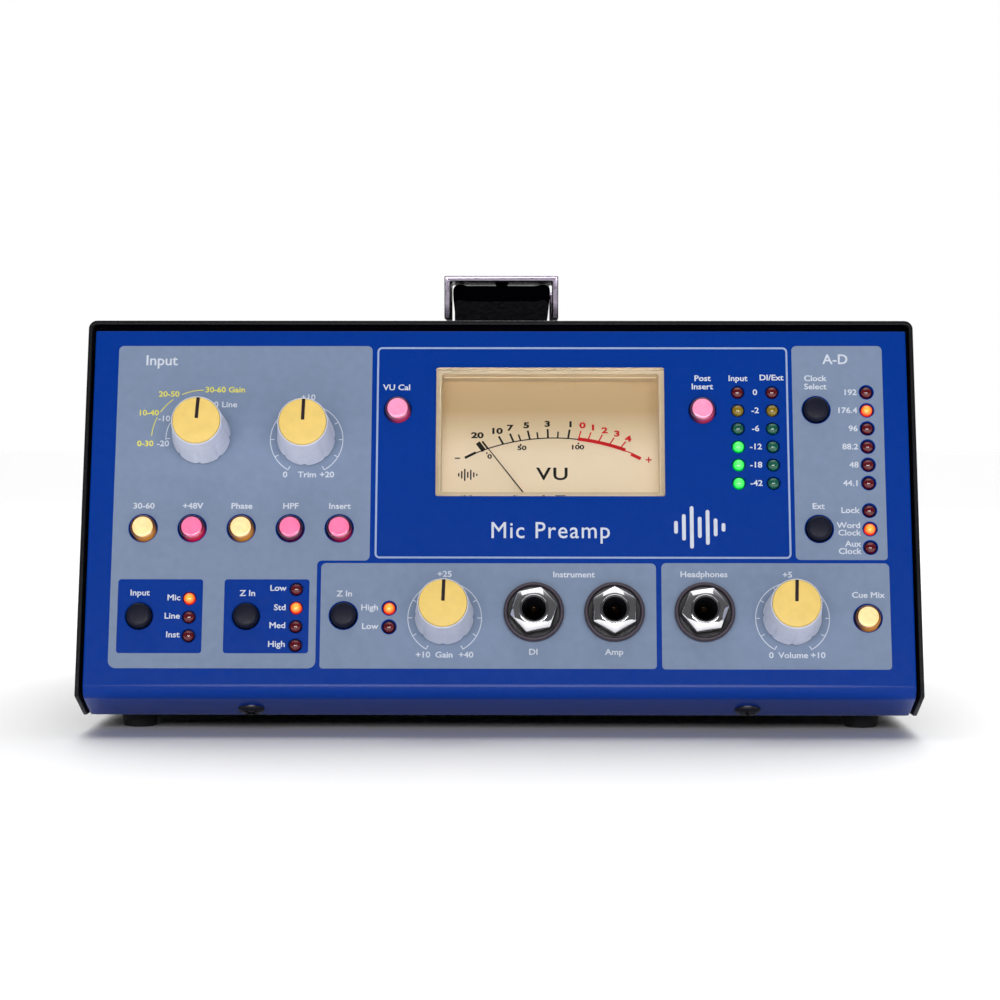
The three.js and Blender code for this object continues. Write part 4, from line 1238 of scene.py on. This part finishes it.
# ---- strap handle
cap_sheet = 1.6
for end, facing in (("front", 1), ("rear", -1)):
    low_corner, high_corner = span(f"handle_cap_{end}", CASE)
    half = high_corner[0]
    leg, high = low_corner[2], high_corner[2]
    radius = 0.5
    arch = [(half, leg)]
    arch += [(half - radius + radius * math.cos(math.radians(a)),
              high - radius + radius * math.sin(math.radians(a)))
             for a in range(0, 91, 15)]
    inner_half, inner_high, inner_radius = half - cap_sheet, high - cap_sheet, 0.3
    hollow = [(inner_half, leg)]
    hollow += [(inner_half - inner_radius + inner_radius * math.cos(math.radians(a)),
                inner_high - inner_radius + inner_radius * math.sin(math.radians(a)))
               for a in range(0, 91, 30)]
    outline = arch + [(-x, z) for x, z in reversed(arch)] + [(-x, z) for x, z in hollow] + hollow[::-1]
    channel = extruded(outline, low_corner[1], high_corner[1])
    mid_y = (low_corner[1] + high_corner[1]) / 2
    sink = turned([(0, high - 1), (3.1, high - 1), (3.1, high - 0.1), (3.4, high + 0.2), (0, high + 0.2)],
                  40, 0, mid_y)
    piece(f"handle_cap_{end}_shell", carved(bevelled(channel, 0.3, 3, 50), sink), CASE, "nickel",
          replaces=[f"handle_cap_{end}"], angle=30)
    head = screw(3.0, 0.9, 0.9 + facing, "flush")
    piece(f"handle_cap_{end}_screw", moved(head, 0, mid_y, high - 0.95), CASE, "steel", angle=40)


def strap(stations, half, step=1.5):
    """A moulded strap along y through stations of (y, low, high), with a raised rib along each side."""
    bm = bmesh.new()
    ys = [stations[0][0]]
    while ys[-1] < stations[-1][0] - step * 0.5:
        ys.append(min(stations[-1][0], ys[-1] + step))
    rows = []
    for y in ys:
        for (y0, l0, h0), (y1, l1, h1) in zip(stations, stations[1:]):
            if y0 <= y <= y1 + 1e-6:
                share = (y - y0) / (y1 - y0)
                share = share * share * (3 - 2 * share)
                low_z, high_z = l0 + (l1 - l0) * share, h0 + (h1 - h0) * share
                break
        radius = min(1.6, (high_z - low_z) * 0.3)
        outline = rounded(-half, low_z, half, high_z, radius, 5)
        fine = []
        for a, b in zip(outline, outline[1:] + outline[:1]):
            fine.append(a)
            if abs(a[0] - b[0]) > 3:
                fine += [(a[0] + (b[0] - a[0]) * k / 26, a[1] + (b[1] - a[1]) * k / 26)
                         for k in range(1, 26)]
        row_points = []
        for x, z in fine:
            x *= 0.95 + 0.05 * min(1.0, max(0.0, (z - TOP - 5.0) / 2.5))
            top_side = z > (low_z + high_z) / 2 and abs(x) < half - radius
            if top_side:
                edge = half - radius - abs(x)
                z -= 0.35 * min(1.0, max(0.0, (edge - 1.2) / 0.8))
            row_points.append(bm.verts.new((x, y, z)))
        rows.append(row_points)
    count = len(rows[0])
    for a, b in zip(rows, rows[1:]):
        for i in range(count):
            j = (i + 1) % count
            bm.faces.new((a[i], a[j], b[j], b[i]))
    bm.faces.new(rows[0][::-1])
    bm.faces.new(rows[-1])
    bmesh.ops.recalc_face_normals(bm, faces=bm.faces)
    return from_bmesh(bm)


grip_low, grip_high = span("strap_grip", CASE)
STRAP_HALF = grip_high[0]
grip_z = (grip_low[2], grip_high[2])
grip = strap([(grip_low[1], *grip_z), (grip_high[1], *grip_z)], STRAP_HALF)
piece("strap_grip_moulding", grip, CASE, "strap", "strap_grip", ["strap_grip"], 50)
cap_front_end = span("handle_cap_front", CASE)[1][1]
cap_rear_start = span("handle_cap_rear", CASE)[0][1]
height = (FEET + TOP + 12) * MM
under = TOP + 11.45  # just below the caps' undersides
END_STATIONS = [  # from a strap end's outer face inwards
    (0, TOP + 0.35, TOP + 6.6), (1.2, TOP + 0.3, TOP + 7.6), (6, TOP + 0.3, under - 0.3),
                (15, TOP + 0.3, under),
    (21, TOP + 5.4, under)]
for end, way, cap_y, grip_y in (("front", 1, cap_front_end, grip_low[1]),
                                ("rear", -1, cap_rear_start, grip_high[1])):
    outer_y = span(f"strap_end_{end}", CASE)[(1 - way) // 2][1]
    stations = [(outer_y + way * inwards, low_z, high_z) for inwards, low_z, high_z in END_STATIONS]
    stations += [(cap_y, TOP + 6.2, under), (grip_y - way * 0.02, *grip_z)]
    flex = piece(f"strap_flex_{end}", strap(stations[::way], STRAP_HALF), CASE, "strap", None,
                 [f"strap_end_{end}"], 50)
    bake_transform(flex)

# ---- rear connectors
PIN_CIRCLE = 4.6  # radius of the circle that a round socket's pins stand on


def socket_screws(x, y, level):
    return [moved(screw(2.4, 0.55, 0.6 + k, "flush"), x + dx, y + dy, level - 0.5)
            for k, (dx, dy) in enumerate([(-9.6, 12.2), (9.6, -12.2)])]


for node in ("mic_input_socket", "line_output_socket"):
    low_corner, high_corner = span(node, REAR)
    x, y = middle(node, REAR)
    flange_top, deep = high_corner[2], low_corner[2]
    barrel = 11.8
    female = node == "mic_input_socket"
    opening, floor_z = (9.7, -10) if female else (8.9, -14)
    flange = plate(rounded(x - 13, y - 15.5, x + 13, y + 15.5, 3.2, 6), [ring(x, y, opening + 0.5, 64)],
                   0.3, flange_top, 0.3)
    collar = turned([(opening, flange_top - 0.5), (opening + 0.1, flange_top + 0.02),
                     (opening + 0.55, flange_top + 0.02), (opening + 0.55, 0.35), (barrel, 0.3),
                     (barrel, deep + 0.4), (barrel - 0.4, deep), (0, deep), (0, floor_z),
                     (opening, floor_z), (opening, flange_top - 0.5)], 64, x, y)
    parts = [flange, collar]
    angles = [-math.pi / 2 + k * math.pi / 2.2 for k in (-1, 0, 1)]
    places = [(x + PIN_CIRCLE * math.cos(a), y + PIN_CIRCLE * math.sin(a)) for a in angles]
    if female:
        plug = plate(ring(x, y, 7.9, 64), [ring(*at, 1.45, 20) for at in places], -10.05, flange_top - 0.2,
                     0.25)
        tab = plate(rounded(x - 3.4, y + 10.6, x + 3.4, y + 14.6, 0.8, 4), [], flange_top - 0.1,
                    flange_top + 1.1, 0.3)
        parts += [plug, tab]
    else:
        key = plate(rounded(x - 1.3, y + 7.1, x + 1.3, y + 9.2, 0.3, 3), [], -13, flange_top - 0.6, 0.15)
        parts.append(key)
    piece(f"{node}_shell", merged(parts), REAR, "black_plastic", replaces=[node], angle=40)
    if female:
        contact, sides = [(1.42, -10.0), (1.42, 0.2), (0.95, 0.2), (0.95, -10.0), (1.42, -10.0)], 20
    else:
        contact, sides = [(0, -14), (1.2, -14), (1.2, -0.9), (0.95, -0.4), (0.5, -0.1), (0, 0)], 24
    contacts = [turned(contact, sides, *at) for at in places]
    piece(f"{node}_contacts", merged(contacts), REAR, "gold")
    piece(f"{node}_screws", merged(socket_screws(x, y, flange_top)), REAR, "dark_screw",
          angle=40)

REAR_JACKS = [-58, -40, -22]
CLOCK_SOCKETS = [0, 16]
SOCKET_Y = 19.5
rear_back = -2.0
for i, x in enumerate(REAR_JACKS):
    piece(f"rear_jack_{i + 1}_bush", moved(jack_bush(5.25, rear_back), x, SOCKET_Y), REAR, "chrome")
    piece(f"rear_jack_{i + 1}_socket", moved(jack_inside(rear_back, 22, 5.25), x, SOCKET_Y), REAR,
          "black_plastic",
          replaces=["main_board"])
    piece(f"rear_jack_{i + 1}_contact", moved(jack_contact(rear_back), x, SOCKET_Y), REAR, "spring")
    nut = moved(jack_nut(0.3 + 0.4 * i), x, SOCKET_Y, -2.3)
    piece(f"rear_jack_{i + 1}_nut", nut, REAR, "nickel", angle=20)
clock_end = span("main_board", REAR)[1][2]
for i, x in enumerate(CLOCK_SOCKETS):
    shell = turned([(4.05, -2), (4.7, -2), (4.7, 1.0), (4.62, 1.1), (4.62, clock_end - 1.6),
                    (4.7, clock_end - 1.4),
                    (4.7, clock_end - 0.25), (4.5, clock_end), (4.15, clock_end), (4.05, clock_end - 0.15),
                    (4.05, -2)], 56, x, SOCKET_Y)
    lugs = []
    for side in (-1, 1):
        lug = turned([(0, 4.4), (0.75, 4.4), (0.75, 5.1), (0.6, 5.25), (0, 5.25)], 20)
        lug.transform(Matrix.Translation((x, SOCKET_Y,
                                          clock_end - 3.4)) @ Matrix.Rotation(side * math.pi / 2, 4, "Y"))
        lugs.append(lug)
    ring_nut = plate(ring(x, SOCKET_Y, 7.0, 6, 0.25 + i), [ring(x, SOCKET_Y, 4.75, 48)], 0.05, 1.9, 0.2)
    pin = turned([(1.15, 0), (1.15, clock_end - 2.6), (0.85, clock_end - 2.4), (0.8, clock_end - 2.6),
                  (0.8, 0),
                  (1.15, 0)], 24, x, SOCKET_Y)
    piece(f"clock_socket_{i + 1}_shell", merged([shell, ring_nut, *lugs]), REAR, "nickel",
          angle=30)
    insulator = turned([(1.16, -1.8), (4.04, -1.8), (4.04, 3.2), (2.4, 3.2), (2.4, clock_end - 2.2),
                        (1.16, clock_end - 2.2),
                        (1.16, -1.8)], 40, x, SOCKET_Y)
    base = plate(rounded(x - 7, SOCKET_Y - 8, x + 7, SOCKET_Y + 7, 0.6, 3), [], -18, -2, 0.3)
    piece(f"clock_socket_{i + 1}_insulator", merged([insulator, base]), REAR, "black_plastic")
    piece(f"clock_socket_{i + 1}_pin", pin, REAR, "gold")

# Mains inlet with its rocker.
power_low, power_high = span("mains_inlet", REAR)
power_x, power_y = middle("mains_inlet", REAR)
inlet_x, inlet_half_x, inlet_half_y, inlet_floor, cut_corner = power_x - 8, 12.1, 8.3, -15, 4.5
rocker_x, pocket_x, pocket_y = power_x + 16.5, 7.0, 10.0
inlet_hole = [(inlet_x + dx, power_y + dy) for dx, dy in [
    (-inlet_half_x, -inlet_half_y), (inlet_half_x, -inlet_half_y), (inlet_half_x, inlet_half_y - cut_corner),
    (inlet_half_x - cut_corner, inlet_half_y), (cut_corner - inlet_half_x, inlet_half_y),
    (-inlet_half_x, inlet_half_y - cut_corner)]]
pocket = rounded(rocker_x - pocket_x, power_y - pocket_y, rocker_x + pocket_x, power_y + pocket_y, 0.5, 3)
flange = plate(inset((power_low, power_high), 0, 1.6, 5), [inlet_hole, pocket], 0.3, power_high[2], 0.35)
well_outline = rounded(power_low[0] + 3.4, power_low[1] + 2.4, power_high[0] - 3.4, power_high[1] - 2.4,
                       0.6, 3)
well = plate(well_outline, [inlet_hole, pocket], inlet_floor, 0.32)
floor = plate(well_outline, [], power_low[2], inlet_floor + 0.02, 0.2)
piece("mains_inlet_housing", merged([flange, well, floor]), REAR, "black_plastic",
      replaces=["mains_inlet"], angle=30)
pins = []
for dx, dy in [(-7, -2.2), (0, 2.2), (7, -2.2)]:
    x, y = inlet_x + dx, power_y + dy
    pins.append(plate(rounded(x - 1, y - 2, x + 1, y + 2, 0.2, 2), [], inlet_floor - 0.1, -1.5, 0.2))
piece("mains_inlet_pins", merged(pins), REAR, "steel")

lean_back = math.radians(7)
reach, top_z = 9.1, power_high[2] + 1.4
face = [(-reach, top_z)]
face += [(reach * k / 10, top_z - (reach - abs(reach * k / 10)) * math.tan(lean_back))
         for k in range(-9, 10)]
face += [(reach, top_z)]
side = [(-3, -4), (-reach, top_z - 3), *face, (reach, top_z - 3), (3, -4)]
rocker = bevelled(extruded(side, -6.5, 6.5, "x"), 0.3, 2, 35)
tilt = Matrix.Translation((rocker_x, power_y, 0)) @ Matrix.Rotation(-lean_back, 4, "X")
rocker.transform(tilt)
piece("power_rocker_key", rocker, REAR, "black_plastic", "power_rocker", ["power_rocker"],
      35)
marks = []
for sign in (-1, 1):
    level = Matrix.Translation((0, sign * 5.2, top_z - (reach - 5.2) * math.tan(lean_back)))
    slope = Matrix.Rotation(sign * lean_back, 4, "X")
    shape = plate(ring(0, 0, 1.7, 40), [ring(0, 0, 1.3, 40)], 0, 0.06) if sign < 0 else block(-0.22, -1.7,
            0, 0.22, 1.7, 0.06)
    shape.transform(tilt @ level @ slope)
    marks.append(shape)
piece("power_rocker_marks", merged(marks), REAR, "white_ink", "power_rocker")

legend = Print(0.0)
for text, x, y, height in [
    ("Mic Input", -85, 85.5, 2.1), ("Line Output", -50, 85.5, 2.1), ("Insert Send", -58, 30.5, 1.6),
    ("Insert Return", -40, 30.5, 1.6), ("Ext Input", -22, 30.5, 1.6), ("Word Clock", 8, 33.2, 1.6),
                           ("In", 0, 30.5, 1.6),
    ("Out", 16, 30.5, 1.6), ("Mains", power_x, 60.5, 2.1),
]:
    legend.words(text, x, y, height)
legend.bar(-68, 34.2, -12, 34.2, 0.3)
legend.bar(-10, 35.6, 26, 35.6, 0.3)
legend.finish("rear_printing", REAR, "white_ink")
rear_low, rear_high = span("rear_panel", REAR)
heads = [moved(screw(2.7, 1.4, 0.5 + k), x, y, 0.02) for k, (x, y) in enumerate(
    [(rear_low[0] + 6, 96), (0, 96), (rear_high[0] - 6, 96), (rear_low[0] + 6, 26), (rear_high[0] - 6, 26)])]
piece("rear_screws", merged(heads), REAR, "dark_screw", angle=40)

# ---- inside
board_z, board_sheet = 10.0, 1.6
board_front = LIP_Y + 52
board_back = LIP_Y + 226
board = plate(rounded(-20, board_front, 104, board_back, 2, 4), [], board_z, board_z + board_sheet, 0.05)
piece("main_board_sheet", board, CASE, "circuit", replaces=["main_board"])
stands = [turned([(0, 4.1), (3, 4.1), (3, board_z), (0, board_z)], 6, x, y) for x, y in [
    (-15, board_front + 5), (99, board_front + 5), (-15, board_back - 20), (99, board_back - 20)]]
piece("main_board_stands", merged(stands), CASE, "spring", replaces=["main_board"])
cans, lids = [], []
for x, y in [(0, 90), (0, 108), (18, 90), (18, 108), (40, 150)]:
    low_can = board_z + board_sheet
    cans.append(turned([(0, low_can), (6.2, low_can), (6.5, low_can + 0.6), (6.5, low_can + 2.0),
                        (6.2, low_can + 2.4),
                        (6.5, low_can + 2.9), (6.5, 35.4), (6.1, 35.9), (5.0, 35.95), (5.0, 35.7),
                        (0, 35.7)], 40, x, LIP_Y + y))
    lids.append(turned([(0, 35.6), (5.0, 35.6), (5.0, 35.8), (0, 35.85)], 40, x, LIP_Y + y))
piece("capacitor_sleeves", merged(cans), CASE, "sleeve", replaces=["main_board"])
piece("capacitor_lids", merged(lids), CASE, "steel")
fins = [block(60, LIP_Y + 150, board_z + board_sheet, 96, LIP_Y + 151.6, 42)]
fins += [block(60 + 3.4 * i, LIP_Y + 151.5, board_z + board_sheet, 61.2 + 3.4 * i, LIP_Y + 158, 42)
         for i in range(11)]
piece("heat_sink", merged(fins), CASE, "dark_screw", replaces=["main_board"])
dress("control_board", "circuit")

toroid_low, toroid_high = span("mains_transformer", CASE)
tx, ty = middle("mains_transformer", CASE)
outer, low_t, high_t = (toroid_high[0] - toroid_low[0]) / 2, toroid_low[2], toroid_high[2]
inner = 10.0
mid_r, half_r = (outer + inner) / 2, (outer - inner) / 2
mid_z, half_z = (low_t + high_t) / 2, (high_t - low_t) / 2


def rounded_box_profile(power=3.2, steps=48):
    """A soft-cornered closed profile round the toroid's core."""
    points = []
    for i in range(steps + 1):
        a = 2 * math.pi * i / steps
        c, s = math.cos(a), math.sin(a)
        points.append((mid_r + half_r * math.copysign(abs(c) ** (2 / power), c),
                       mid_z + half_z * math.copysign(abs(s) ** (2 / power), s)))
    return points


def wrapped(angle, radius, z):
    """Edges of the tape that winds round the core."""
    return radius - 0.18 * (0.5 + 0.5 * math.cos(angle * 48)), z


piece("transformer_winding", turned(rounded_box_profile(), 192, tx, ty, wrapped), CASE, "tape",
      replaces=["mains_transformer"], angle=50)
washer = turned([(2.6, high_t - 3.9), (inner - 0.6, high_t - 3.9), (inner + 6, high_t - 0.05),
                 (inner + 5.9, high_t - 0.02),
                 (2.6, high_t - 3.4), (2.6, high_t - 3.9)], 48, tx, ty)
piece("transformer_washer", washer, CASE, "steel")
can_low, can_high = span("input_transformer", CASE)
cx, cy = middle("input_transformer", CASE)
can_r = (can_high[0] - can_low[0]) / 2
can = turned([(0, can_low[2]), (can_r, can_low[2]), (can_r, can_high[2] - 1.2),
              (can_r - 0.35, can_high[2] - 0.35),
              (can_r - 1.2, can_high[2]), (0, can_high[2])], 64, cx, cy)
piece("input_transformer_can", can, CASE, "steel", replaces=["input_transformer"])

# ---- stage, lights and camera
floor_mesh = bpy.data.meshes.new("floor")
reach = 6.0
floor_mesh.from_pydata([(-reach, -reach, 0), (reach, -reach, 0), (reach, reach, 0), (-reach, reach, 0)], [],
                       [(0, 1, 2, 3)])
floor_object = bpy.data.objects.new("floor", floor_mesh)
bpy.context.scene.collection.objects.link(floor_object)
floor_mesh.materials.append(LOOKS["floor"].material)


def area(name, place, aim, wide, tall, power):
    data = bpy.data.lights.new(name, "AREA")
    data.shape = "RECTANGLE"
    data.size = wide
    data.size_y = tall
    data.energy = power
    lamp = bpy.data.objects.new(name, data)
    bpy.context.scene.collection.objects.link(lamp)
    lamp.location = place
    lamp.rotation_euler = (Vector(aim) - Vector(place)).to_track_quat("-Z", "Y").to_euler()


area("front", (0, -1.55, 0.4), (0, 0, 0.06), 1.3, 0.3, 13.2)
area("card_high", (0, -0.42, 1.25), (0, -0.1, 0.05), 1.0, 0.4, 1.3)
area("back", (0.4, 1.3, 0.9), (0, 0, 0.05), 0.9, 0.9, 4.0)


def studio():
    """A white backdrop; its light comes mostly from overhead and a little behind, as from a big soft box."""
    world = bpy.data.worlds.new("studio")
    world.use_nodes = True
    tree = world.node_tree
    lit = tree.nodes["Background"]
    place = tree.nodes.new("ShaderNodeTexCoord").outputs["Generated"]
    aim = tree.nodes.new("ShaderNodeVectorMath")
    aim.operation = "DOT_PRODUCT"
    tree.links.new(place, aim.inputs[0])
    aim.inputs[1].default_value = (0, math.sin(math.radians(36)), math.cos(math.radians(36)))
    value = aim.outputs["Value"]
    for operation, amount in [("MAXIMUM", 0.0), ("POWER", 6.0), ("MULTIPLY", 4.0), ("ADD", 0.1)]:
        step = tree.nodes.new("ShaderNodeMath")
        step.operation = operation
        tree.links.new(value, step.inputs[0])
        step.inputs[1].default_value = amount
        value = step.outputs["Value"]
    tree.links.new(value, lit.inputs["Strength"])
    white_back = tree.nodes.new("ShaderNodeBackground")
    path = tree.nodes.new("ShaderNodeLightPath")
    mix = tree.nodes.new("ShaderNodeMixShader")
    tree.links.new(path.outputs["Is Camera Ray"], mix.inputs["Fac"])
    tree.links.new(lit.outputs["Background"], mix.inputs[1])
    tree.links.new(white_back.outputs["Background"], mix.inputs[2])
    for background in (lit, white_back):
        background.inputs["Color"].default_value = (1, 1, 1, 1)
    white_back.inputs["Strength"].default_value = 1.0
    tree.links.new(mix.outputs["Shader"], tree.nodes["World Output"].inputs["Surface"])
    return world


bpy.context.scene.world = studio()
bpy.context.scene.view_settings.view_transform = "Standard"

camera_data = bpy.data.cameras.new("camera")
camera_data.lens = 115.2
camera = bpy.data.objects.new("camera", camera_data)
camera.location = (0.0079, -0.9426, 0.0841)
camera.rotation_euler = (math.radians(90 - 1.547), math.radians(-0.045), math.radians(0.533))
bpy.context.scene.collection.objects.link(camera)
bpy.context.scene.camera = camera
